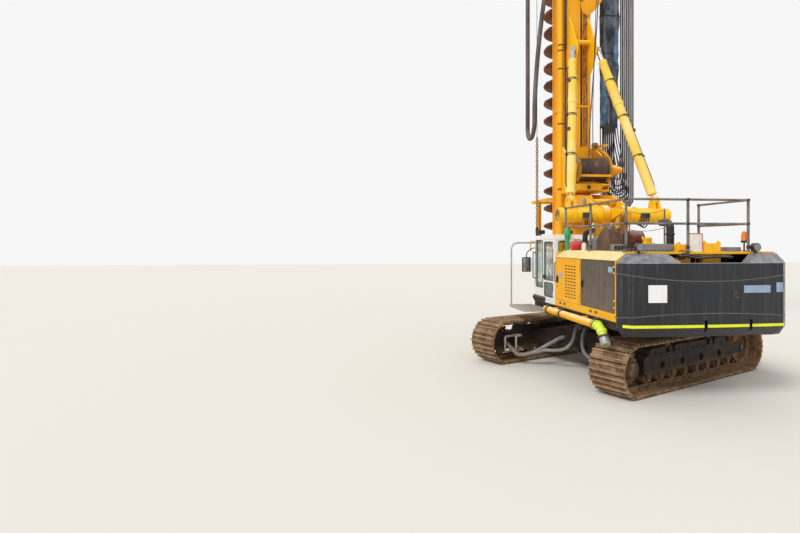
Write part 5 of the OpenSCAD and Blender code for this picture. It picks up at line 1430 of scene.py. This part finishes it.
@dataclass
class DeliveryLine:
    """The concrete pipe under the left side with its clamps and the lime elbow."""

    x: float = -1.683
    z: float = 1.345
    ends: Pair = (-2.56, -0.12)

    def build(self) -> None:
        """Coats the pipes and adds clamp bolts and weld rings."""
        coat(YELLOW, "delivery_pipe")
        coat(LIME, "delivery_elbow")
        clamps = Form()
        for y in (-2.52, -1.0, -0.3):
            for d in (-0.03, 0.03):
                clamps.lathe([(-0.006, 0.097), (-0.004, 0.103), (0.004, 0.103), (0.006, 0.097)],
                    (self.x, y + d, self.z), (0, 1, 0))
            clamps.box((self.x - 0.018, y - 0.03, self.z + 0.09), (self.x + 0.018, y + 0.03, self.z + 0.118), 0.006)
            clamps.tube([(self.x - 0.05, y, self.z + 0.112), (self.x + 0.05, y, self.z + 0.112)], 0.008, 8)
        y, z, way = self.ends[0] - 0.197, self.z - 0.085, (0.0, -0.574, -0.819)
        clamps.lathe([(0.085, 0.084), (0.09, 0.1), (0.122, 0.1), (0.127, 0.084)], (self.x, y, z), way)
        clamps.piece("delivery_clamps", DARK_STEEL, Body.HOUSE)
        Form().lathe([(0.125, 0.079), (0.13, 0.083), (0.25, 0.083), (0.256, 0.079)],
            (self.x, y, z), way).piece("elbow_coupling", ZINC, Body.HOUSE)


@dataclass
class BoomDress:
    """Boom, link bars, lift cylinders and head beam: pins, hoses and bolts."""

    foot: Pair = (0.7, 1.7)
    tube: Pair = (0.0, 3.5104)
    pivot: Pair = (0.62, 3.88)

    def _on_boom(self, share: float, off: float = 0.0) -> Pair:
        """A point along the boom's side plates.

        Args:
            share: How far from the foot to the head tube, 0 to 1.
            off: Distance square to the plates' line.

        Returns:
            Y and Z.
        """
        (y0, z0), (y1, z1) = self.foot, self.tube
        span = hypot(y1 - y0, z1 - z0)
        ny, nz = -(z1 - z0) / span, (y1 - y0) / span
        return y0 + share * (y1 - y0) + off * ny, z0 + share * (z1 - z0) + off * nz

    def build(self) -> None:
        """Coats the steel and adds fittings."""
        coat(YELLOW, "boom", "boom_feet", "link_bars", "boom_barrels")
        coat(HEAD_YELLOW, "head_beam")
        coat(CHROME, "boom_rods")
        caps = Form()
        for side in (-1, 1):
            y, z = self._on_boom(0.0)
            caps.lathe([(0, 0.07), (0.012, 0.07), (0.016, 0.05)], (side * 0.33, y, z), (side, 0, 0))
            y, z = self._on_boom(0.62)
            caps.lathe([(0, 0.05), (0.02, 0.05), (0.024, 0.036)], (side * 0.59, y, z), (side, 0, 0))
        caps.piece("boom_pin_caps", ZINC, Body.BOOM)
        hoses = Form()
        for side in (-1, 1):
            for k in range(3):
                x = side * (0.15 - 0.035 * k)
                run = [(x, *self._on_boom(s, o)) for s, o in ((0.06, 0.16), (0.2, 0.125), (0.45, 0.12), (0.7, 0.125),
                    (0.88, 0.15))]
                hoses.tube(smooth(run, 5), 0.016, 10)
        hoses.piece("boom_hoses", RUBBER, Body.BOOM)
        bolts = []
        for side in (-1, 1):
            for a in angles(12):
                bolts += [((side * x, r * cos(a), self.tube[1] + r * sin(a)), (side, 0, 0))
                    for x, r in ((1.362, 0.125), (0.562, 0.155))]
        repeated("head_beam_bolts", Unit.BOLT, bolts, (0.014, 0.014, 0.02), ZINC, Body.HEAD)
        pins = Form()
        for side in (-1, 1):
            pins.lathe([(0, 0.075), (0.018, 0.075), (0.024, 0.05)], (side * 0.4165, *self.pivot), (side, 0, 0))
            pins.lathe([(0, 0.05), (0.014, 0.05), (0.018, 0.034)], (side * 1.118, 0.0, 3.87), (side, 0, 0))
        pins.piece("head_pin_caps", ZINC, Body.HEAD)
        loops = Form()
        for side in (-1, 1):
            for k in range(4):
                x = side * (0.62 + 0.05 * k)
                loops.tube(smooth([(x, -0.16, 3.5), (x, -0.2, 3.42 - 0.02 * k),
                    (x - side * 0.05, -0.1, 3.3 - 0.03 * k), (x - side * 0.1, 0.02, 3.33)], 5), 0.014, 8)
            loops.box((side * 0.6, -0.19, 3.44), (side * 0.82, -0.15, 3.56), 0.01)
        loops.piece("head_beam_hoses", RUBBER, Body.HEAD)


@dataclass
class StayDress:
    """The two back-stay cylinders: upper barrels, oil lines, straps, clips and gland rings."""

    low: Triple = (1.04, 0.0, 3.87)
    top: Triple = (0.35, 1.41, 7.9)
    barrel_top: float = 3.98

    def _at(self, side: int, along: float, out: Triple = (0.0, 0.0, 0.0)) -> Triple:
        """A point beside a stay.

        Args:
            side: -1 for the left stay, 1 for the right one.
            along: Distance from its lower end.
            out: How far it lies off the middle line, mirrored on the left.

        Returns:
            The point.
        """
        low, top = Vector(self.low), Vector(self.top)
        spot = low + (top - low).normalized() * along
        return side * (spot.x + out[0]), spot.y + out[1], spot.z + out[2]

    def build(self) -> None:
        """Coats the cylinders and adds the barrels' upper lengths and their lines."""
        coat(FADED, "stay_barrels")
        coat(CHROME, "stay_rod_left", "stay_rod_right")
        barrels, lines, straps, stains = Form(), Form(), Form(), Form()
        for side in (-1, 1):
            way = tuple(Vector(self._at(side, 1.0)) - Vector(self._at(side, 0.0)))
            end = self.barrel_top
            barrels.lathe([(2.69, 0.07), (2.69, 0.112), (2.7, 0.116), (3.44, 0.114), (3.56, 0.102), (end - 0.1, 0.1),
                (end - 0.09, 0.105), (end - 0.01, 0.105), (end, 0.098), (end, 0.06)], self._at(side, 0.0), way)
            lines.tube(smooth([self._at(side, a, out) for a, out in ((0.3, (0.1, -0.03, 0.0)),
                (0.5, (0.13, -0.02, 0.0)), (1.3, (0.128, -0.02, 0.0)), (2.4, (0.128, -0.02, 0.0)),
                (3.4, (0.128, -0.02, 0.0)), (3.62, (0.15, -0.02, 0.03)), (3.74, (0.12, -0.02, 0.02)))], 5), 0.013, 10)
            for a in (1.18, 2.3, 3.36):
                straps.lathe([(0, 0.108), (0.002, 0.122), (0.022, 0.122), (0.024, 0.108)], self._at(side, a), way)
                straps.box(self._at(side, a, (0.1, -0.05, -0.02)), self._at(side, a, (0.15, 0.01, 0.035)), 0.006)
                straps.tube(smooth([self._at(side, a + 0.02, (-0.06, -0.11, 0.0)),
                    self._at(side, a, (0.0, -0.135, 0.02)), self._at(side, a + 0.01, (0.05, -0.12, 0.0)),
                    self._at(side, a, (0.1, -0.07, 0.0))], 4), 0.008, 8)
            for a in (1.86, 3.28):
                stains.box(self._at(side, a, (0.07, -0.1, 0.0)), self._at(side, a, (0.125, -0.03, 0.08)), 0.012)
        barrels.piece("stay_upper_barrels", FADED, Body.STAYS)
        lines.piece("stay_oil_lines", DARK_STEEL, Body.STAYS)
        straps.piece("stay_straps", DARK_STEEL, Body.STAYS)
        stains.piece("stay_ports", MAROON, Body.STAYS)


@dataclass
class Winch:
    """The winch below the mast: wound rope, flange rims, light bar, plates, arms and hoses."""

    drum_y: float = 1.16
    drum_z: float = 4.73
    drum_r: float = 0.27
    half: float = 0.38
    rope_r: float = 0.014

    def build(self) -> None:
        """Coats the frame and drum, winds the rope and adds the fittings round it."""
        coat(YELLOW, "winch_frame", "auger_guide")
        coat(DRUM, "main_drum")
        coat(MAST_YELLOW, "mast_yoke")
        coat(HEAD_YELLOW, "stay_bracket")
        rope = grown("wound_rope", winding_tree(), Form().box((-0.01, self.drum_y - 0.01, self.drum_z - 0.01),
            (0.01, self.drum_y + 0.01, self.drum_z + 0.01), 0).mesh_data("wound_rope_seed"), {"Turns": 25.0,
            "Coil radius": self.drum_r + self.rope_r, "Width": 2 * self.half - 0.05, "Rope radius": self.rope_r,
            "Middle": (0.025 - self.half, self.drum_y, self.drum_z), "Finish": WOUND.material()})
        own("drum_rope", rope, WOUND, Body.DRUM)
        rims = Form()
        for side in (-1, 1):
            rims.lathe([(0, 0.33), (0.0, 0.356), (0.008, 0.362), (0.03, 0.362), (0.038, 0.356), (0.038, 0.33)],
                (side * 0.376, self.drum_y, self.drum_z), (side, 0, 0), 64)
        rims.piece("drum_rims", FLANGE, Body.DRUM)
        bars = Form()
        bars.box((-0.4, 0.78, 4.51), (0.4, 0.81, 4.57), 0.006)
        bars.slab([(1.0, 4.31), (1.2, 4.24), (1.2, 4.3), (1.02, 4.37)], -0.36, 0.36, "x", 0.004)
        bars.piece("winch_guard_bar", MAST_YELLOW, Body.MAST)
        Form().slab([(-0.44, 4.19), (0.25, 4.19), (0.25, 4.36), (0.1, 4.36), (-0.3, 4.345), (-0.44, 4.345)], 0.985,
            1.003, "y", 0.004).piece("winch_front_plate", YELLOW, Body.MAST)
        # A black disc on the plate is painted shade for the dark inside of its hole
        Form().disc((-0.11, 0.98, 4.27), (0, -1, 0), 0.05, 0.006).piece("winch_plate_hole_shade", PLASTIC, Body.MAST)
        arm = Form().slab([(0.08, 5.26), (0.49, 5.36), (0.49, 5.41), (0.08, 5.34)], 1.17, 1.23, "y", 0.006)
        arm.tube([(0.28, 1.16, 5.33), (0.28, 1.8, 5.33)], 0.024)
        arm.piece("rope_guide_arm", MAST_YELLOW, Body.MAST)
        wheels = Form()
        for x in (0.05, 0.12):
            wheels.lathe([(-0.018, 0.05), (-0.016, 0.075), (-0.006, 0.06), (0.006, 0.06), (0.016, 0.075),
                (0.018, 0.05)], (x, 1.06, 5.34), (1, 0, 0))
        wheels.tube([(-0.02, 1.06, 5.34), (0.3, 1.06, 5.34), (0.3, 1.19, 5.34)], 0.014)
        wheels.piece("rope_guide_rollers", FLANGE, Body.MAST)
        turns = [radians(-16 + 11 * k) for k in range(10)]
        curve = [(0.02 + 0.61 * cos(a), 4.73 + 0.61 * sin(a)) for a in turns]
        inner = [(0.02 + 0.54 * cos(a), 4.73 + 0.54 * sin(a)) for a in reversed(turns)]
        Form().slab(curve + inner, 1.13, 1.19, "y", 0.006).piece("winch_side_curve", YELLOW, Body.MAST)
        motor, oil = Form(), Form()
        for r, x0, x1 in ((0.132, 0.49, 0.52), (0.132, 0.66, 0.69), (0.08, 0.79, 0.84)):
            motor.lathe([(0, r - 0.006), (0.006, r + 0.004), (x1 - x0 - 0.006, r + 0.004), (x1 - x0, r - 0.006)],
                (x0, self.drum_y, self.drum_z), (1, 0, 0))
        for k in range(3):
            oil.tube(smooth([(0.76, self.drum_y + 0.03 * k, self.drum_z + 0.05), (0.8 + 0.03 * k, 1.18, 4.95),
                (0.93 + 0.04 * k, 1.3, 5.08), (1.0 + 0.05 * k, 1.5, 4.9), (0.8, 1.75, 4.55 - 0.04 * k),
                (0.36, 1.9, 4.45 - 0.05 * k)], 5), 0.013, 10)
        motor.piece("winch_motor_rings", YELLOW, Body.MAST)
        oil.piece("winch_motor_hoses", CHALKED, Body.MAST)
        bolts = [((side * 0.451, self.drum_y + 0.17 * cos(a), self.drum_z + 0.17 * sin(a)), (side, 0, 0))
            for side in (-1, 1) for a in angles(12)]
        repeated("winch_bolts", Unit.BOLT, bolts, (0.014, 0.014, 0.02), ZINC, Body.MAST)


@dataclass
class MastDress:
    """The mast: rub plate seam, rust strip, riser clamps, cable clips and crown fittings."""

    rear: float = 1.82
    top: float = 18.0
    joint: float = 12.2
    riser: Pair = (-0.465, 1.902)
    drop: Pair = (-0.75, 2.2)

    def build(self) -> None:
        """Coats the mast and adds its dressing."""
        coat(MAST_YELLOW, "mast", "hose_arms", "crown")
        coat(YELLOW, "mast_pipe")
        coat(DARK_STEEL, "sheave_rear", "sheave_front")
        Form().box((0.115, self.rear - 0.0145, 5.46),
            (0.255, self.rear - 0.0125, self.top - 0.3), 0).piece("mast_rust_strip", WORN, Body.MAST)
        scores = [((0.185 + 0.05 * sin(7.3 * k), self.rear - 0.0145, 5.6 + 0.1 * k + 0.04 * sin(3.1 * k)), UP)
            for k in range(118)]
        repeated("mast_rust_scores", Unit.BLOCK, scores, (0.022, 0.002, 0.055), DARK_STEEL, Body.MAST)
        Form().box((0.052, self.rear - 0.0155, 5.45),
            (0.1, self.rear - 0.013, self.top - 0.02), 0).piece("mast_groove", DARK_STEEL, Body.MAST)
        joints = Form()
        for z0, z1 in ((self.joint - 0.05, self.joint), (self.joint + 0.06, self.joint + 0.11)):
            joints.box((-0.372, self.rear - 0.032, z0), (0.372, self.rear - 0.02, z1), 0.004)
        joints.piece("mast_joint_flanges", MAST_YELLOW, Body.MAST)
        bolts = [((x, self.rear - 0.033, z), (0.0, -1.0, 0.0)) for z in (12.175, 12.285)
            for x in spaced(-0.33, 0.33, 9)]
        bolts += [((x, 2.505, self.joint + d), (0.0, 1.0, 0.0)) for x in (-0.36, 0.36) for d in (-0.02, 0.08)]
        repeated("mast_bolts", Unit.BOLT, bolts, (0.014, 0.014, 0.02), ZINC, Body.MAST)
        bands = [((*self.riser, z), UP) for z in (2.13, 8.18, 9.63, 4.3, 6.06, 7.54, 8.03, 10.4)]
        bands.append(((*self.drop, 10.37), UP))
        repeated("riser_clamps", Unit.BAND, bands, (0.079, 0.079, 0.034), DARK_STEEL, Body.MAST)
        drain = Form().tube([(-0.376, 1.8, 4.2), (-0.376, 1.8, 8.1)], 0.018, 12)
        drain.tube(rounded([(-0.376, 1.795, 8.08), (-0.376, 1.795, 9.46), (-0.376, 1.76, 9.5), (-0.05, 1.76, 9.5),
            (0.09, 1.76, 9.36)], 0.05), [0.032] * 7 + [0.018] * 13, 14)
        drain.piece("mast_drain_hose", RUBBER, Body.MAST)
        saddles = [((-0.362, 1.806, z), (0.0, 1.0, 0.0)) for z in (4.3, 6.06, 7.54, 8.18, 9.2)]
        repeated("drain_hose_saddles", Unit.BLOCK, saddles, (0.03, 0.074, 0.05), DARK_STEEL, Body.MAST)
        Form().tube(smooth([(0.335, 2.1, 9.02), (0.42, 2.12, 9.16), (0.66, 2.2, 9.42), (0.84, 2.28, 9.85),
            (0.9, 2.36, 10.6), (0.9, 2.4, 11.5)], 6), 0.042, 14).piece("hose_arm_strut", YELLOW, Body.MAST)
        Form().slab([(0.06, 9.72), (0.06, 9.2), (0.1, 9.05), (0.25, 8.975), (0.34, 9.03), (0.445, 9.12), (0.56, 9.26),
            (0.66, 9.42), (0.7, 9.56), (0.66, 9.72)], 1.782, 1.807,
            "y", 0.004).piece("hose_arm_gusset", MAST_YELLOW, Body.MAST)
        feeds = Form()
        for k in range(16):
            x, y, deep = 0.94 + 0.03 * k, (2.325, 2.515)[k % 2], 2.75 + 0.03 * (k * 5 % 16)
            fan = x + 0.027 * k
            feeds.tube(smooth([(x, y, 6.2), (x + 0.006 * k, y, 5.6), (x + 0.016 * k, y, 5.0),
                (fan - 0.003 * k, y, 4.3), (fan, y, deep + 0.7), (fan - 0.08, y, deep + 0.12), (x * 0.7, y, deep),
                (0.46, y, deep + 0.1), (0.335, y, deep + 0.14)], 5), 0.015, 8)
        feeds.piece("mast_feed_hoses", CHALKED, Body.MAST)
        lines = Form()
        for k in range(3):
            y = 1.94 + 0.05 * k
            lines.tube([(0.352 + 0.004 * k, y, 5.5), (0.352 + 0.004 * k, y, 11.3), (0.42, y + 0.04, 11.48),
                (0.52, 2.3, 11.52)], 0.011, 8)
        lines.tube([(0.345, 2.42, 2.4), (0.345, 2.42, 17.7)], 0.009, 8)
        lines.piece("mast_oil_lines", DARK_STEEL, Body.MAST)
        clips = [((0.345, 1.99, 5.9 + 1.1 * k), (1.0, 0.0, 0.0)) for k in range(5)]
        repeated("mast_clips", Unit.BLOCK, clips, (0.012, 0.09, 0.02), ZINC, Body.MAST)
        rungs = Form()
        for z in spaced(3.0, 17.4, 42):
            rungs.tube([(0.338, 2.16, z), (0.4, 2.16, z), (0.4, 2.4, z), (0.338, 2.4, z)], 0.01, 8)
        rungs.piece("mast_rungs", MAST_YELLOW, Body.MAST)
        pins = Form()
        for y in (1.5, 3.0):
            for side in (-1, 1):
                pins.lathe([(0, 0.075), (0.02, 0.075), (0.026, 0.05)], (side * 0.13, y, 18.52), (side, 0, 0))
        pins.piece("crown_pin_caps", ZINC, Body.MAST)


@dataclass
class Head:
    """Rotary head, carriage and gooseneck."""

    y: float = 3.35
    z: float = 15.25

    def build(self) -> None:
        """Coats the drive and adds bolts, motor rings, oil lines and clamps."""
        coat(FADED, "head_carriage", "rotary_drive")
        coat(MAST_YELLOW, "gooseneck")
        bolts = [((0.385 * cos(a), self.y + 0.385 * sin(a), self.z + rise), (0, 0, way))
            for rise, way in ((0.702, 1), (-0.002, -1)) for a in angles(24)]
        bolts += [((side * x, 2.742, z), (0.0, 1.0, 0.0)) for side in (-1, 1) for x in (0.1, 0.3, 0.41)
            for z in (15.08, 16.42)]
        repeated("head_bolts", Unit.BOLT, bolts, (0.016, 0.016, 0.022), ZINC, Body.ROTARY)
        rings, hoses = Form(), Form()
        for k, a in enumerate(radians(d) for d in (60, 180, 300)):
            x, y = 0.27 * cos(a), self.y + 0.27 * sin(a)
            for z in (15.99, 16.18):
                rings.lathe([(0, 0.105), (0.004, 0.112), (0.022, 0.112), (0.026, 0.105)], (x, y, z))
            hoses.tube(smooth([(x, y, 16.34), (x, y, 16.42), (x * 0.8 + 0.12, y - 0.08, 16.47),
                (0.3, 3.0, 16.4 - 0.05 * k), (0.7, 2.66, 16.15 - 0.04 * k), (1.05 + 0.1 * k, 2.5, 16.0)], 5),
                0.02, 10)
        rings.piece("motor_rings", DARK_STEEL, Body.ROTARY)
        hoses.piece("head_hoses", RUBBER, Body.ROTARY)
        clamps = [((-0.95, 3.1, 16.36), UP), ((0.0, self.y, 16.47), UP)]
        repeated("neck_clamps", Unit.BAND, clamps, (0.079, 0.079, 0.06), DARK_STEEL, Body.ROTARY)


@dataclass
class AugerDress:
    """The auger: clay caught on the flights and stem."""

    def build(self) -> None:
        """Coats the steel with clay marks and grows clods on the flights."""
        coat(AUGER_STEEL, "auger", "auger_bit")
        coat(DARK_STEEL, "auger_coupling")
        scattered("auger_clay", "auger", 120.0, 0.026, 5, Body.AUGER, lambda mid, way: way.z > 0.25)


@dataclass
class Sleeve:
    """The fabric sleeve round the hydraulic hoses under the mast's arm."""

    x: Pair = (0.93, 1.41)
    y: Pair = (2.342, 2.498)
    z: Pair = (6.1, 11.46)

    def _ring(self, z: float, grow: float, rows: int) -> Path:
        """One soft folded oval round the hoses; the sleeve is widest near its top.

        Args:
            z: The oval's height.
            grow: How far it stands out from the sleeve.
            rows: Its points.

        Returns:
            The points in order.
        """
        swell = 0.03 * min(1.0, max(0.0, (z - 6.3) / 3.0)) + 0.008 * sin(4.3 * z) + 0.006 * sin(9.7 * z + 1)
        rx, ry = (self.x[1] - self.x[0]) / 2 + swell, (self.y[1] - self.y[0]) / 2 + swell * 0.6
        cx, cy = sum(self.x) / 2 + swell * 0.6, sum(self.y) / 2
        ring = []
        for a in angles(rows):
            fold = 0.012 * sin(9 * a + 2.2 * sin(1.7 * z)) + 0.008 * sin(17 * a - 5 * z)
            c, s = cos(a), sin(a)
            ring.append((cx + (rx - ry) * (1 if c > 0 else -1) * min(1.0, 3 * abs(c)) + (ry + fold + grow) * c,
                cy + (ry + fold + grow) * s, z))
        return ring

    def _wrap(self, form: Form, x: Pair, z: Pair, seed: float) -> None:
        """Adds a crumpled cloth wound round part of the sleeve's near side.

        Args:
            form: What it is added to.
            x: Its left and right edge.
            z: Its lower and upper end.
            seed: What sets its folds apart from another's.
        """
        rows = []
        for h in spaced(*z, 34):
            bulge = 0.008 * sin(13 * h + seed) + 0.004 * sin(31 * h)
            middle = sum(x) / 2 + 0.012 * sin(3 * h + seed)
            rx = (x[1] - x[0]) / 2 + bulge
            rows.append([(middle + rx * cos(a), 2.375 + (0.055 + bulge) * sin(a), h) for a in angles(20)])
        form.rings(rows)

    def build(self) -> None:
        """Makes the sleeve, its ties and the blue wraps."""
        rings = [self._ring(z, -0.006, 64) for z in spaced(self.z[0], self.z[1] - 0.002, 170)]
        Form().rings(rings).piece("hose_sleeve", NYLON, Body.MAST, ("hose_wrap",))
        ties = Form()
        for z in (6.2, 6.95, 8.2, 9.25, 9.9, 10.7, 11.3):
            ties.rings([[(x, y, z + d) for x, y, _ in self._ring(z, g, 64)] for d, g in ((-0.014, 0.0),
                (-0.011, 0.007), (0.011, 0.007), (0.014, 0.0))])
        ties.piece("sleeve_ties", PLASTIC, Body.MAST)
        wraps = Form()
        for x, z, seed in (((0.9, 1.09), (6.14, 7.55), 0.0), ((1.26, 1.42), (7.75, 9.05), 2.0)):
            self._wrap(wraps, x, z, seed)
        wraps.piece("blue_wraps", BLUE_WRAP, Body.MAST)


@dataclass
class Ropes:
    """Steel ropes: winch to crown, crown to head, and the thin auxiliary rope with its hook."""

    r: float = 0.014
    over: float = 18.52 + 0.342

    def build(self) -> None:
        """Makes the ropes as dressing on the bodies that hold them."""
        rear = Form()
        rear.tube(smooth([(-0.21, 0.868, 4.45), (-0.19, 0.868, 4.73), (-0.16, 0.885, 5.05), (-0.1, 0.94, 5.9),
            (0.06, 1.02, 7.6), (0.17, 1.06, 9.0), (0.22, 1.09, 10.5), (0.22, 1.12, 13.0), (0.1, 1.15, 16.5),
            (-0.03, 1.17, 18.5)], 5), self.r)
        rear.tube(smooth([(-0.06, 0.868, 4.4), (-0.055, 0.87, 4.9), (-0.02, 0.96, 6.2), (0.07, 1.03, 8.0),
            (0.16, 1.08, 10.0), (0.19, 1.11, 13.0), (0.1, 1.15, 16.5), (0.03, 1.17, 18.5)], 5), self.r * 0.75)
        for x in (-0.03, 0.03):
            rear.tube([(x, 1.55, self.over), (x, 2.95, self.over)], self.r)
        rear.piece("hoist_ropes", ROPE, Body.MAST)
        fall = Form()
        for x in (-0.03, 0.03):
            fall.tube([(x, 3.33, 18.5), (x, 3.33, 17.6), (x, 3.33, 16.9), (x, 3.33, 16.5)], self.r)
        falls = fall.piece("head_ropes", ROPE, None)
        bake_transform(falls)
        thin = Form().tube([(-0.63, 3.2, 18.3), (-0.635, 3.2, 10.0), (-0.63, 3.2, 5.9)], 0.008, 8)
        thin.tube([(0.0, 3.0, 18.6), (-0.3, 3.1, 18.55), (-0.6, 3.2, 18.45), (-0.63, 3.2, 18.3)], 0.02, 8)
        thin.piece("auxiliary_rope", ROPE, Body.MAST)
        links = Form()
        for k in range(35):
            z = 5.92 - 0.075 * k
            wide = (1.0, 0.0) if k % 2 else (0.0, 1.0)
            links.tube([(-0.63 + wide[0] * 0.031 * cos(a), 3.2 + wide[1] * 0.031 * cos(a), z + 0.052 * sin(a))
                for a in angles(10)], 0.0135, 6, True)
        links.piece("auxiliary_chain", RUSTY, Body.MAST)
        hook = Form().lathe([(0, 0.012), (0.02, 0.04), (0.2, 0.045), (0.26, 0.03), (0.3, 0.012)], (-0.63, 3.2, 3.06))
        hook.tube(smooth([(-0.63, 3.2, 3.06), (-0.63, 3.2, 2.99), (-0.6, 3.2, 2.93), (-0.63, 3.2, 2.88),
            (-0.67, 3.2, 2.92)], 5), 0.014, 10)
        hook.piece("auxiliary_hook", DARK_STEEL, Body.MAST)


@dataclass
class Studio:
    """Pale floor, white surround, one broad key light and the photo's camera."""

    floor: str = "#e9e7e2"
    eye: Triple = (-6.374, -11.912, 2.855)
    yaw_deg: float = -6.4
    lens: float = 24.0
    sensor: float = 36.0
    rise: float = -0.0294

    def _world(self) -> None:
        """Plain light for the object, near white for what the camera and mirrors see."""
        world = bpy.data.worlds.new("studio")
        world.use_nodes = True
        tree = world.node_tree
        tree.nodes.clear()
        path = put(tree, "ShaderNodeLightPath", {}, {})
        soft = put(tree, "ShaderNodeBackground", {"Color": (1.0, 0.985, 0.96, 1.0), "Strength": 0.7}, {})
        bright = put(tree, "ShaderNodeBackground", {"Color": (1.0, 1.0, 1.0, 1.0), "Strength": 0.93}, {})
        mix = put(tree, "ShaderNodeMixShader", {}, {0: path.outputs["Is Diffuse Ray"], 1: bright.outputs[0],
            2: soft.outputs[0]})
        put(tree, "ShaderNodeOutputWorld", {}, {"Surface": mix.outputs[0]})
        bpy.context.scene.world = world

    def build(self) -> None:
        """Sets the floor, the sun, the camera and the view transform."""
        self._world()
        mesh = Form().box((-60.0, -60.0, -0.05), (60.0, 60.0, -0.001), 0).mesh_data("floor")
        ground = bpy.data.objects.new("floor", mesh)
        show(ground)
        plaster = bpy.data.materials.new("pale_floor")
        plaster.use_nodes = True
        plaster.node_tree.nodes["Principled BSDF"].inputs["Base Color"].default_value = linear(self.floor)
        plaster.node_tree.nodes["Principled BSDF"].inputs["Roughness"].default_value = 0.9
        mesh.materials.append(plaster)
        sun = bpy.data.lights.new("key", "SUN")
        sun.energy, sun.angle, sun.color = 1.7, radians(20), (1.0, 0.97, 0.92)
        key = bpy.data.objects.new("key", sun)
        key.rotation_euler = (radians(48), 0.0, radians(-50))
        show(key)
        camera = bpy.data.cameras.new("photo_view")
        camera.lens, camera.sensor_width, camera.sensor_fit = self.lens, self.sensor, "HORIZONTAL"
        camera.shift_y, camera.clip_end = self.rise, 400.0
        view = bpy.data.objects.new("photo_view", camera)
        view.location = self.eye
        view.rotation_euler = (radians(90), 0.0, radians(self.yaw_deg))
        show(view)
        bpy.context.scene.camera = view
        bpy.context.scene.view_settings.view_transform = "Standard"


def main() -> None:
    """Builds every assembly in order and reports each piece."""
    logging.basicConfig(level=logging.INFO, format="%(message)s")
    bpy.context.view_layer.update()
    Studio().build()
    for part in (HangingHoses(), Sleeve(), Crawlers(), HousePanels(), TailWeight(), DeckGear(), Walkway(), Cab(),
                 DeliveryLine(), BoomDress(), StayDress(), Winch(), MastDress(), Head(), AugerDress(), Ropes()):
        part.build()
        LOG.info("built %s", type(part).__name__)


if __name__ == "__main__":
    main()
